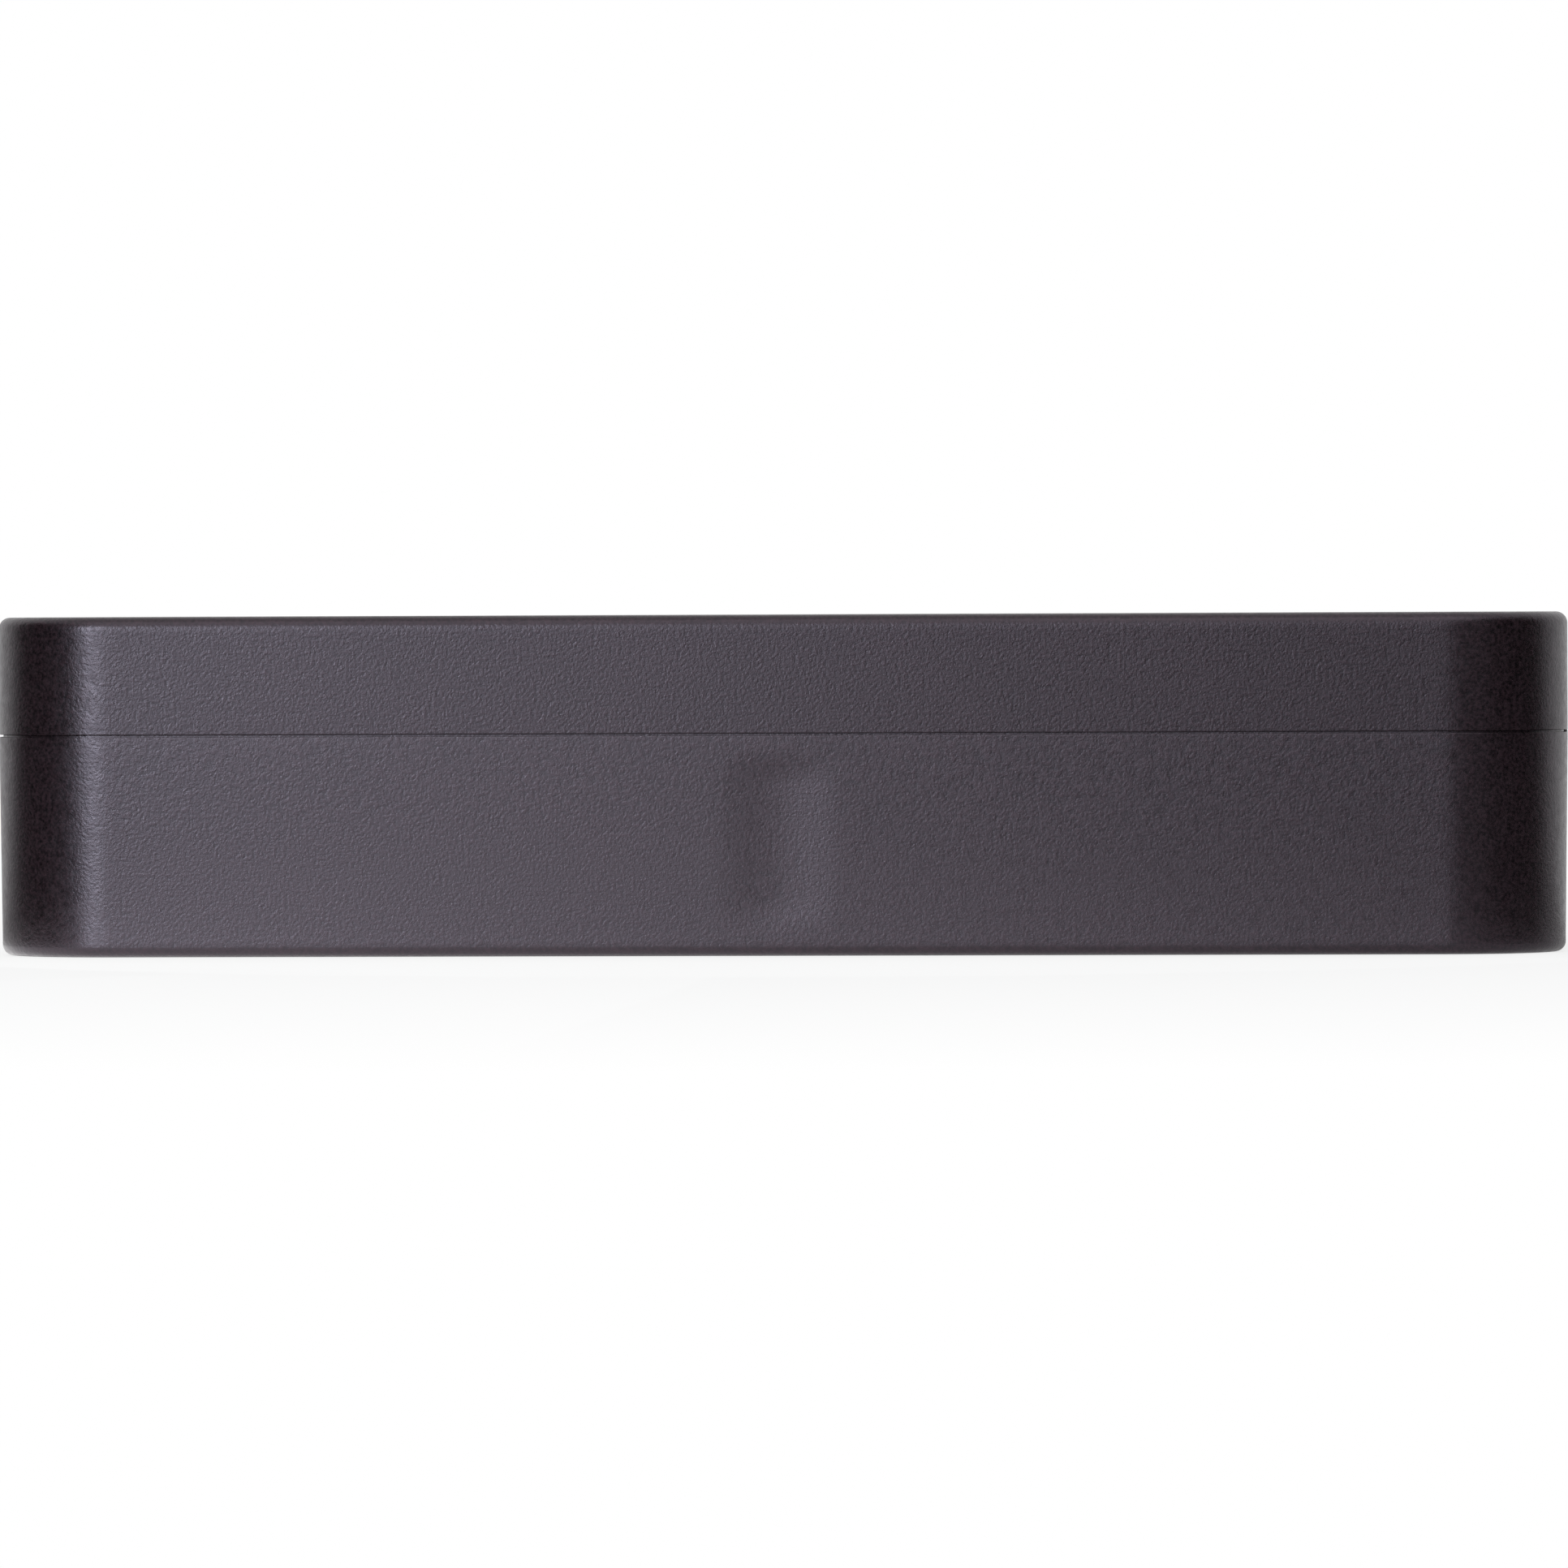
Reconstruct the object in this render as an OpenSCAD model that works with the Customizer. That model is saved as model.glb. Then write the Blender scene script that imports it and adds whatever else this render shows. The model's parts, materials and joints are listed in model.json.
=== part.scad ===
// Three-outlet power strip: a two-part housing with a recessed double-pole rocker switch,
// three round recessed outlets with shutters and side earth clips, and a cord entry at the back.
// Millimetres. X runs along the strip, Y across it (+Y is the cord side) and Z up from the base.

/* [Housing] */
// Thickness of the side walls
wall = 2; // [1.8:0.1:2.6]
// Thickness of the cover's top plate
top_t = 2.2; // [1.8:0.1:2.8]
// Thickness of the base's floor
floor_t = 2.2; // [1.8:0.1:3]
// Height of the cover above the parting line
cover_h = 14.7; // [13:0.1:16]
// Plan radius of the upright corners
corner_r = 15; // [12:0.5:17]
// Radius of the cover's top edge
top_edge_r = 1.4; // [0.6:0.1:1.7]
// Radius of the base's bottom edge
bottom_edge_r = 1.3; // [0.6:0.1:1.7]
// How far the base's sides lean in towards the bottom
draft = 0.3; // [0.1:0.05:0.6]
// Open gap of the parting line
seam_gap = 0.2; // [0.1:0.05:0.4]
// Height of the base's tongue inside the cover
tongue_h = 1.6; // [1:0.1:2.5]
// Room between the outlet wells and the side walls
side_room = 5.4; // [4.5:0.1:7]
// Room between the last well and the end wall
end_room = 9.4; // [9:0.1:14]

/* [Outlets] */
// Gap between neighbouring outlet wells
well_gap = 0.8; // [0.8:0.1:6]
// Inside diameter of an outlet well at its mouth
well_d = 39.6; // [39:0.1:40]
// How much narrower the radius of a well is below its mouth
well_step = 0.3; // [0.25:0.05:0.4]
// Depth of a well's mouth
mouth_depth = 3; // [2.5:0.1:4]
// Depth of an outlet well
well_depth = 17.5; // [17:0.1:19]
// Wall of a well where it passes the cover
rim_t = 1.1; // [0.9:0.1:1.3]
// Step on the well that bears on the cover's underside
shoulder = 0.7; // [0.5:0.1:0.8]
// Turn of each outlet's pin line from the strip's length
outlet_turn = 45; // [40:1:50]
// Distance between the two pins of a plug
pin_spacing = 19; // [18.5:0.1:19.5]
// Length of a plug's pins
pin_l = 19; // [18.5:0.1:20]
// Diameter of the pin holes
pin_hole_d = 5.5; // [5.2:0.1:5.8]
// Width of the two guide ribs in a well
rib_w = 4.6; // [4:0.1:5.5]
// Height of the guide ribs above the wall
rib_t = 1.8; // [1.4:0.1:2]
// Thickness of a well's floor disc
disc_t = 2; // [1.8:0.1:2.4]

/* [Shutters and contacts] */
// Thickness of a shutter
shutter_t = 1.7; // [1.4:0.1:2]
// Radius of a shutter
shutter_r = 14.4; // [14:0.1:15]
// Angle that a shutter turns to open
shutter_turn = 38; // [37:0.5:40]
// Gap above and below a shutter
slide_gap = 0.3; // [0.2:0.05:0.4]
// Thickness of the plate under a shutter
plate_t = 2.8; // [2.6:0.1:3.2]
// Radius of a shutter's pivot
pivot_r = 2; // [1.8:0.1:2.2]
// Room under the tips of a plug's pins
bar_room = 3.3; // [3.1:0.1:4.5]
// Thickness of the live and neutral bars
bar_t = 0.8; // [0.6:0.1:1]
// Width of the live and neutral bars
bar_w = 7.2; // [6.6:0.1:7.6]
// Thickness of the earth clips
clip_t = 0.7; // [0.5:0.1:0.8]
// Width of the earth clips
clip_w = 4.4; // [4:0.1:4.8]
// Half the width of the contact tray
tray_half = 13; // [12:0.1:13.5]
// Thickness of the contact tray's floor
tray_floor = 1.6; // [1.2:0.1:1.8]

/* [Switch] */
// Length of the switch body
switch_l = 28; // [27:0.1:30]
// Width of the switch body
switch_w = 21; // [20.5:0.1:23]
// Wall of the switch body along its length
switch_wall = 1.4; // [1.2:0.1:1.6]
// How far the bezel reaches past the body on each side
bezel_lap = 2; // [1.5:0.1:2.5]
// Thickness of the bezel
bezel_t = 1.6; // [1.4:0.1:1.8]
// Depth of the switch pocket in the cover
pocket_depth = 5.2; // [5:0.1:6]
// Room around the bezel in the pocket
pocket_room = 3.5; // [2.5:0.1:4]
// Room between the switch body and the end wall
switch_end_room = 11.5; // [11.2:0.1:16]
// Room between the switch body and the first well
switch_gap = 10.9; // [10.5:0.1:16]
// Tilt of the rocker to each side
rocker_tilt = 9; // [7:0.5:10]
// Radius of the rocker's trunnions
trunnion_r = 1.6; // [1.4:0.1:1.8]

/* [Cord entry and fixings] */
// Bore of the cord gland
gland_bore_d = 8.4; // [7:0.1:9]
// Height of the cord's axis above the underside
gland_z = 12; // [11.5:0.1:14]
// Thickness of the gland's outer flange, which lies flush in the wall
flange_t = 1.2; // [1:0.1:1.4]
// Length of the housing screws' shanks
screw_l = 13; // [12:0.5:14]
// Diameter of the screws' shanks
screw_d = 3; // [2.6:0.1:3.2]
// Diameter of the keyholes' round entries
keyhole_d = 8.5; // [7.5:0.1:9]
// Width of the keyholes' slots
keyhole_slot_w = 4.4; // [4.2:0.1:4.8]
// Length of the keyholes' slots, from centre to centre
keyhole_run = 6.5; // [5:0.1:7]

/* [Hidden] */
$fn = 64;
cut = 0.5;           // how far a cutting tool runs past a face
fit = 0.1;           // clearance of pieces that seat in one another
run_fit = 0.05;      // radial clearance of turning fits
outlets = 3;
well_r = well_d / 2;
rim_r = well_r + rim_t;
well_out_r = rim_r + shoulder;
pitch = 2 * well_out_r + well_gap;
rim_drop = 0.2;      // the wells' rims stand this far below the top
mouth_chamfer = 0.8;
rim_chamfer = 0.5;

// Overall size, from what the housing holds
body_l = 2 * wall + switch_end_room + switch_l + switch_gap
       + (outlets - 1) * pitch + 2 * well_out_r + end_room;
body_w = 2 * (well_out_r + side_room + wall);
z_tip = floor_t + bar_room;
z_well = z_tip + pin_l;
body_h = z_well + well_depth;
z_seam = body_h - cover_h;
z_mouth = body_h - mouth_depth;
z_ceiling = body_h - top_t;

// Places along the strip
switch_x = -body_l / 2 + wall + switch_end_room + switch_l / 2;
first_x = switch_x + switch_l / 2 + switch_gap + well_out_r;
last_x = first_x + (outlets - 1) * pitch;
pin_off = pin_spacing / 2 * sin(outlet_turn);

// Levels of the stack under a well
z_disc = z_well - disc_t;
z_shutter = z_disc - slide_gap - shutter_t;
z_plate_top = z_shutter - slide_gap;
z_plate = z_plate_top - plate_t;
strap_gap = 0.4;
z_strap = z_plate - strap_gap - clip_t;
z_bar = floor_t + tray_floor;
ring_in = shutter_r + 0.6;
ring_out = ring_in + 1.8;
pin_hole_r = pin_hole_d / 2;
slot_half_angle = asin((pin_hole_r + 0.15) / (pin_spacing / 2));
lug_half_angle = 4;
spring_r = pivot_r + 1.1;
recess_h = 1.9;

// Earth parts
rail_t = 0.8;
rail_h = 6.7;
z_rail = z_strap - rail_h;
tab_l = 2.4;
clip_out_r = rim_r - 0.5;
clip_slot_w = clip_w + 0.8;

// Contact tray and bars
bar_end = 5;
tray_x0 = first_x - well_r + 0.8;
tray_x1 = last_x + well_r - 2.8;
bar_x0 = tray_x0 - bar_end;
bar_x1 = tray_x1 - 3;
bar_tab_h = 8.7;
leaf_t = 0.6;
leaf_w = 5;
tab_w = 6.3;
tab_t = 0.8;

// Switch levels and sizes
z_pocket = body_h - pocket_depth;
pocket_plate = 1.8;
pivot_drop = 0.8;
z_pivot = z_pocket - pivot_drop;
window_l = switch_l - 2.6;
window_w = switch_w - 2 * switch_wall;
rocker_r = window_l / 2 - 0.35;
rocker_w = window_w - 0.7;
rocker_rise = (pocket_depth + 0.5 - rocker_r * sin(rocker_tilt)) / cos(rocker_tilt);
rocker_dip = 2;
rocker_skirt = 2.6;
rocker_wall = 1.5;
rocker_ceiling = 0.4;
tube_r = 2.6;
tube_bore_r = 1.85;
pole_y = rocker_w / 2 - rocker_wall - tube_bore_r - 0.2;
tube_drop = 9.5;
plunger_r = 1.7;
tip_drop = 14;
plunger_l = 8;
bridge_tilt = rocker_tilt * 1.1;
bridge_t = 0.8;
bridge_reach = 8.2;
bridge_w = 4;
knuckle_r = 1;
z_bridge = z_pivot - tip_drop - slide_gap - bridge_t / 2;
contact_x = 6.8;
contact_r = 1.4;
contact_h = 0.8;
load_x = window_l / 2 - tab_w / 2 - 1.35;
horn_w = 2.4;
z_horn = z_bridge - knuckle_r + 0.15;
z_rivet = z_bridge - bridge_t / 2 - contact_h - (contact_x + contact_r) * sin(bridge_tilt) - 0.15;
bridge_room = 4.8;
z_switch_floor = z_bridge - bridge_room;
switch_floor_t = 2;
blade_l = 9.5;
z_blade = z_switch_floor - switch_floor_t - blade_l;
blade_foot = 1.2;
rivet_seat_t = 0.8;
rivet_h = 1;
lamp_r = pole_y - tube_r - 0.6;
lamp_l = window_l / 2 - 0.7;
lamp_end = 2.4;      // where the lamp's wire meets the resistor
resistor_r = 0.6 * lamp_r;
resistor_l = 6.5;
z_divider = z_switch_floor + 7.5;
lead_r = 1.3;
sleeve_h = 7;
sleeve_end = 0.8;
sleeve_wall = 1.2;
bar_sleeve_h = 6;

// Screw bosses
boss_r = 4;
post_r = 3.6;
screw_r = screw_d / 2;
head_lap = 1.4;
head_r = screw_r + head_lap;
head_h = 2;
counterbore_r = head_r + 0.3;
boss_inset = 6.5;
z_boss = z_seam - 3.3;
boss_web = 3.5;
boss_x = body_l / 2 - wall - boss_inset;
boss_y = body_w / 2 - wall - boss_inset;
middle_x = first_x + pitch / 2;
middle_y = body_w / 2 - wall - boss_r - 0.5;
screw_places = [for (x = [-boss_x, boss_x], y = [-boss_y, boss_y]) [x, y],
                for (y = [-middle_y, middle_y]) [middle_x, y]];

// Cord gland and clamp
gland_x = switch_x;
gland_bore_r = gland_bore_d / 2;
bite_r = gland_bore_r - 0.5;
gland_r = gland_bore_r + 1.3;
flange_r = gland_r + 2;
gland_pad = 1.4;
gland_face = body_w / 2 - draft;
gland_neck = gland_face - flange_t - (body_w / 2 - wall - gland_pad);
collar_r = gland_r + 0.9;
collar_t = 1.8;
clamp_w = 6;
clamp_y = body_w / 2 - wall - gland_pad - collar_t - 1 - clamp_w / 2;
clamp_post_r = 3.2;
clamp_gap = 1.1;
clamp_reach = gland_bore_r + clamp_gap + clamp_post_r;
z_clamp = gland_z + 1.8;
saddle_t = 3.7;
clamp_screw_l = 9;

// Keyholes and recessed panel on the underside
keyhole_x = body_l / 2 - wall - 6;
keyhole_r = keyhole_d / 2;
pocket_h = 4.3;
pocket_skin = 1.2;
panel_l = 90;
panel_w = 30;
panel_d = 0.3;

// ---- shared shapes ----

module rounded_rect(l, w, r) {
    square([l, w - 2 * r], center = true);
    square([l - 2 * r, w], center = true);
    for (x = [-1, 1], y = [-1, 1])
        translate([x * (l / 2 - r), y * (w / 2 - r)]) circle(r);
}

module slab(l, w, r, z0, z1) {
    translate([0, 0, z0]) linear_extrude(z1 - z0) rounded_rect(l, w, r);
}

// Half a wall section: reach wide and h high, with its outer edge rounded and leaning in
module section(reach, h, top_r, foot_r, lean) {
    foot = reach - lean;
    polygon([[0, 0], [foot - foot_r, 0], [foot - foot_r, foot_r], [foot, foot_r],
             [reach, h - top_r], [reach - top_r, h - top_r], [reach - top_r, h], [0, h]]);
    if (top_r > 0) translate([reach - top_r, h - top_r]) circle(top_r);
    if (foot_r > 0) translate([foot - foot_r, foot_r]) circle(foot_r);
}

// A block with round upright corners, carrying that section all the way round
module shell_block(l, w, r, h, top_r, foot_r, lean) {
    for (side = [0, 180]) {
        rotate(side) translate([0, 0, 0]) rotate([90, 0, 90])
            linear_extrude(l - 2 * r, center = true) section(w / 2, h, top_r, foot_r, lean);
        rotate(side) translate([l / 2 - r, 0, 0]) rotate([90, 0, 0])
            linear_extrude(w - 2 * r, center = true) section(r, h, top_r, foot_r, lean);
    }
    for (x = [-1, 1], y = [-1, 1])
        translate([x * (l / 2 - r), y * (w / 2 - r), 0])
            rotate_extrude() section(r, h, top_r, foot_r, lean);
}

// A wedge of a ring between two angles
module ring_sector(r0, r1, a0, a1, h) {
    rotate(a0) rotate_extrude(angle = a1 - a0) translate([r0, 0]) square([r1 - r0, h]);
}

// A coil's centre line from z0 up, as rows of x, y, z and the angle about the coil's axis
function coil_path(r, z0, rise, turns) =
    let (steps = ceil(turns * 12))
    [for (i = [0:steps]) let (a = 360 * turns * i / steps)
        [r * cos(a), r * sin(a), z0 + rise * i / steps, a]];

function place(row) = [row[0], row[1], row[2]];

// The direction of a path at one of its rows
function heading(path, i) =
    let (a = place(path[max(i - 1, 0)]), b = place(path[min(i + 1, len(path) - 1)]))
    (b - a) / norm(b - a);

// Round wire along such a path
module wire(path, wire_r) {
    sides = 6;
    last = len(path) - 1;
    points = [for (i = [0:last], j = [0:sides - 1])
        let (t = heading(path, i), out = [cos(path[i][3]), sin(path[i][3]), 0],
             u = out - (out * t) * t, side = u / norm(u), b = 360 * j / sides)
        place(path[i]) + wire_r * (cos(b) * side + sin(b) * cross(side, t))];
    skin = [for (i = [0:last - 1], j = [0:sides - 1])
        let (k = (j + 1) % sides)
        [i * sides + j, i * sides + k, (i + 1) * sides + k, (i + 1) * sides + j]];
    ends = [[for (j = [sides - 1:-1:0]) j], [for (j = [0:sides - 1]) last * sides + j]];
    polyhedron(points, concat(skin, ends));
}

module at_outlet(i) {
    translate([first_x + i * pitch, 0, 0]) children();
}

module at_pins(r = pin_spacing / 2) {
    for (side = [0, 180]) rotate(outlet_turn + side) translate([r, 0, 0]) children();
}

// ---- housing ----

module pocket_cut() {
    l = switch_l + 2 * (bezel_lap + pocket_room);
    w = switch_w + 2 * (bezel_lap + pocket_room);
    r = 6;
    translate([switch_x, 0, 0]) {
        slab(l, w, r, z_pocket, body_h + cut);
        translate([0, 0, body_h - mouth_chamfer])
            for (step = [0:3])
                slab(l + mouth_chamfer * step / 2, w + mouth_chamfer * step / 2,
                     r + mouth_chamfer * step / 4,
                     mouth_chamfer * step / 4, mouth_chamfer + cut);
    }
}

module top_cover() color("#3b373b") {
    pocket_l = switch_l + 2 * (bezel_lap + pocket_room + pocket_plate);
    pocket_w = switch_w + 2 * (bezel_lap + pocket_room + pocket_plate);
    z0 = z_seam + seam_gap / 2;
    difference() {
        union() {
            difference() {
                translate([0, 0, z0])
                    shell_block(body_l, body_w, corner_r, body_h - z0, top_edge_r, 0, 0);
                slab(body_l - 2 * wall, body_w - 2 * wall, corner_r - wall, z0 - cut, z_ceiling);
                slab(body_l - wall, body_w - wall, corner_r - wall / 2,
                     z0 - cut, z0 + tongue_h + fit);
            }
            translate([switch_x, 0, 0])
                slab(pocket_l, pocket_w, 6 + pocket_plate, z_pocket - pocket_plate, z_ceiling + cut);
            for (p = screw_places)
                translate([p[0], p[1], z_boss]) cylinder(r = post_r, h = z_ceiling - z_boss + cut);
        }
        pocket_cut();
        translate([switch_x, 0, 0])
            slab(switch_l + 2 * fit, switch_w + 2 * fit, 1, z_pocket - pocket_plate - cut, z_pocket + cut);
        for (i = [0:outlets - 1]) at_outlet(i) {
            translate([0, 0, z_ceiling - cut]) cylinder(r = rim_r + fit, h = top_t + 2 * cut);
            translate([0, 0, body_h - 0.4]) cylinder(r1 = rim_r + fit, r2 = rim_r + fit + 0.9, h = 0.9);
        }
        for (p = screw_places)
            translate([p[0], p[1], z_boss - cut])
                cylinder(r = screw_r + run_fit, h = screw_l - boss_web + 2 + cut);
    }
}

module base_shell() color("#3b373b") {
    z1 = z_seam - seam_gap / 2;
    difference() {
        union() {
            difference() {
                shell_block(body_l, body_w, corner_r, z1, 0, bottom_edge_r, draft);
                slab(body_l - 2 * wall, body_w - 2 * wall, corner_r - wall, floor_t, z1 + cut);
            }
            base_tongue(z1);
            for (p = screw_places)
                translate([p[0], p[1], floor_t / 2]) cylinder(r = boss_r, h = z_boss - floor_t / 2);
            for (y = [-1, 1])
                translate([middle_x - 1.2, y * (middle_y + boss_r / 2) - (boss_r + 1) / 2, floor_t / 2])
                    cube([2.4, boss_r + 1, z_boss - floor_t / 2]);
            clamp_seat();
            translate([gland_x, body_w / 2 - wall - gland_pad, gland_z]) rotate([-90, 0, 0])
                cylinder(r = flange_r + 1.6, h = gland_pad + wall / 2);
            for (x = [-1, 1]) keyhole_pocket(x * keyhole_x);
        }
        for (p = screw_places) translate([p[0], p[1], 0]) {
            translate([0, 0, -cut]) cylinder(r = counterbore_r, h = z_boss - boss_web + cut);
            cylinder(r = screw_r + 0.2, h = z_boss + cut);
        }
        for (x = [-1, 1]) translate([x * keyhole_x, 0, 0]) keyhole();
        translate([gland_x, gland_face, gland_z]) rotate([90, 0, 0]) {
            translate([0, 0, -draft - cut]) cylinder(r = flange_r + run_fit, h = flange_t + draft + cut);
            cylinder(r = gland_r + run_fit, h = flange_t + gland_neck + cut);
        }
        for (x = [-1, 1])
            translate([gland_x + x * clamp_reach, clamp_y, z_clamp - clamp_screw_l + saddle_t - 1])
                cylinder(r = screw_r + run_fit, h = clamp_screw_l);
        slab(panel_l, panel_w, 2, -cut, panel_d);
    }
}

module base_tongue(z1) {
    difference() {
        slab(body_l - wall - 2 * fit, body_w - wall - 2 * fit, corner_r - wall / 2 - fit,
             z1 - 1, z1 + tongue_h - fit);
        slab(body_l - 2 * wall, body_w - 2 * wall, corner_r - wall, z1 - 1 - cut, z1 + tongue_h + cut);
    }
}

// Two posts for the clamp's screws, and the ridge that the cord is pressed on
module clamp_seat() {
    translate([gland_x, clamp_y, floor_t / 2]) {
        for (x = [-1, 1])
            translate([x * clamp_reach, 0, 0]) cylinder(r = clamp_post_r, h = z_clamp - floor_t / 2);
        difference() {
            translate([-gland_bore_r - 0.8, -1.5, 0])
                cube([2 * gland_bore_r + 1.6, 3, gland_z - bite_r + 1.2 - floor_t / 2]);
            translate([0, -2, gland_z - floor_t / 2]) rotate([-90, 0, 0])
                cylinder(r = bite_r, h = 4);
        }
    }
}

module keyhole() {
    translate([0, 0, -cut]) {
        cylinder(r = keyhole_r, h = floor_t + 2 * cut);
        translate([-keyhole_slot_w / 2, 0, 0]) cube([keyhole_slot_w, keyhole_run, floor_t + 2 * cut]);
        translate([0, keyhole_run, 0]) cylinder(r = keyhole_slot_w / 2, h = floor_t + 2 * cut);
    }
    translate([0, 0, floor_t]) keyhole_room(0, pocket_h);
}

// The screw head's room behind a keyhole, grown by a skin
module keyhole_room(skin, h) {
    w = keyhole_d + 0.4 + 2 * skin;
    translate([-w / 2, -w / 2, 0]) cube([w, keyhole_run + w, h]);
}

module keyhole_pocket(x) {
    translate([x, 0, floor_t / 2]) keyhole_room(pocket_skin, pocket_h + pocket_skin + floor_t / 2);
}

// ---- outlets ----

module socket_well(i) color("#343134") at_outlet(i) {
    z_rim = body_h - rim_drop;
    difference() {
        union() {
            difference() {
                union() {
                    translate([0, 0, z_well]) cylinder(r = well_out_r, h = z_ceiling - z_well);
                    translate([0, 0, z_well]) cylinder(r = rim_r, h = z_rim - z_well);
                }
                translate([0, 0, z_well - cut])
                    cylinder(r = well_r - well_step, h = well_depth + 2 * cut);
                translate([0, 0, z_mouth]) cylinder(r = well_r, h = mouth_depth + cut);
            }
            at_pins(well_r - rib_t)
                translate([0, -rib_w / 2, z_well])
                    cube([rib_t + rim_t / 2, rib_w, z_mouth - z_well]);
        }
        translate([0, 0, z_rim - rim_chamfer])
            cylinder(r1 = well_r, r2 = well_r + 2 * rim_chamfer, h = 2 * rim_chamfer);
        for (side = [90, 270]) rotate(outlet_turn + side)
            translate([well_r - 1, -clip_slot_w / 2, z_well - cut])
                cube([well_out_r, clip_slot_w, z_mouth - z_well + cut]);
    }
}

module socket_floor(i) color("#343134") at_outlet(i) {
    difference() {
        translate([0, 0, z_disc]) cylinder(r = well_out_r, h = disc_t);
        at_pins() {
            translate([0, 0, z_disc - cut]) cylinder(r = pin_hole_r, h = disc_t + 2 * cut);
            translate([0, 0, z_well - 0.4])
                cylinder(r1 = pin_hole_r, r2 = pin_hole_r + 0.8, h = 0.8);
        }
        for (side = [90, 270]) rotate(outlet_turn + side)
            translate([clip_out_r - clip_t - 0.5, -clip_slot_w / 2, z_disc - cut])
                cube([well_out_r, clip_slot_w, disc_t + 2 * cut]);
    }
}

module shutter(i) color("#b9b4a8") at_outlet(i) rotate(outlet_turn) {
    mid = pin_spacing / 2;
    half_w = pin_hole_r + 0.25;
    slope = 10;
    difference() {
        union() {
            translate([0, 0, z_shutter]) cylinder(r = shutter_r, h = shutter_t);
            translate([0, 0, z_shutter]) rotate(90)
                ring_sector(shutter_r - 1, ring_in + 0.9, -lug_half_angle, lug_half_angle, shutter_t);
        }
        translate([0, 0, z_shutter - cut]) cylinder(r = pivot_r + run_fit, h = shutter_t + 2 * cut);
        for (side = [0, 180]) rotate(side) {
            translate([0, 0, z_shutter - cut])
                ring_sector(mid - half_w, mid + half_w, shutter_turn - slot_half_angle,
                            shutter_turn + slot_half_angle, shutter_t + 2 * cut);
            translate([mid - half_w, -half_w, z_shutter + shutter_t]) rotate([-slope, 0, 0])
                cube([2 * half_w, 2 * half_w, shutter_t]);
        }
        rotate(200) translate([spring_r - 0.65, -0.4, z_shutter - cut]) cube([1.3, 1.4, 0.8 + cut]);
    }
}

module shutter_plate(i) color("#8d8a86") at_outlet(i) rotate(outlet_turn) {
    difference() {
        translate([0, 0, z_plate]) cylinder(r = ring_out, h = z_disc - z_plate);
        translate([0, 0, z_plate_top]) cylinder(r = ring_in, h = z_disc - z_plate_top + cut);
        translate([0, 0, z_plate_top]) rotate(90)
            ring_sector(ring_in - 1, ring_out + 1, -lug_half_angle - shutter_turn - 1.5,
                        lug_half_angle + 1.5, z_disc - z_plate_top + cut);
        translate([0, 0, z_plate_top - recess_h]) cylinder(r = spring_r + 1.3, h = recess_h + cut);
        for (side = [0, 180]) rotate(side)
            translate([pin_spacing / 2, 0, z_plate - cut])
                cylinder(r = pin_hole_r + 0.15, h = plate_t + 2 * cut);
    }
    translate([0, 0, z_plate_top - recess_h]) cylinder(r = pivot_r, h = z_disc - z_plate_top + recess_h);
}

module shutter_spring(i) color("#c9c9cc") at_outlet(i) rotate(outlet_turn + 200) {
    wire_r = 0.25;
    foot = z_plate_top - recess_h + wire_r + 0.05;
    coils = coil_path(spring_r, foot, recess_h - 2 * wire_r - 0.15, 3);
    end = coils[len(coils) - 1];
    wire(concat([[spring_r, -1.3, foot, 0]], coils,
                [end + [0, 0.2, 0.15, 0], end + [0, 0.3, 0.4, 0], [end[0], 0.3, z_shutter + 0.5, end[3]]]),
         wire_r);
}

module earth_clip(i) color("#cdbd8a") at_outlet(i) rotate(outlet_turn + 90) {
    inner = clip_out_r - clip_t;
    bulge = well_r - 2.4;
    face = [[inner, z_strap], [inner, z_well + 3], [bulge, z_mouth - 5.5],
            [inner - 0.6, z_mouth - 1]];
    back = [for (k = [len(face) - 1:-1:0]) face[k] + [clip_t, 0]];
    difference() {
        union() {
            translate([-clip_out_r, -clip_w / 2, z_strap]) cube([2 * clip_out_r, clip_w, clip_t]);
            for (side = [0, 180]) rotate(side) rotate([90, 0, 0])
                linear_extrude(clip_w, center = true) polygon(concat(face, back));
        }
        rotate(-outlet_turn - 90)
            translate([-tab_l / 2 - fit, -rail_t / 2 - fit, z_strap - cut])
                cube([tab_l + 2 * fit, rail_t + 2 * fit, clip_t + 2 * cut]);
    }
}

// ---- contacts ----

module contact_tray() color("#d8d4c8") {
    difference() {
        translate([tray_x0, -tray_half, floor_t])
            cube([tray_x1 - tray_x0, 2 * tray_half, z_plate - floor_t]);
        for (y = [-1, 1])
            translate([tray_x0 - cut, y * pin_off - bar_w / 2 - 0.6, z_bar])
                cube([bar_x1 - tray_x0 + 1 + cut, bar_w + 1.2, z_plate - z_bar + cut]);
        translate([tray_x0 - cut, -rail_t / 2 - fit, z_rail])
            cube([bar_x1 - tray_x0 + cut, rail_t + 2 * fit, z_plate - z_rail + cut]);
        for (i = [0:outlets - 1]) at_outlet(i) rotate(outlet_turn + 90)
            translate([-well_out_r - 3, -clip_slot_w / 2, z_strap - fit])
                cube([2 * well_out_r + 6, clip_slot_w, z_plate - z_strap + cut]);
    }
}

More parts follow.
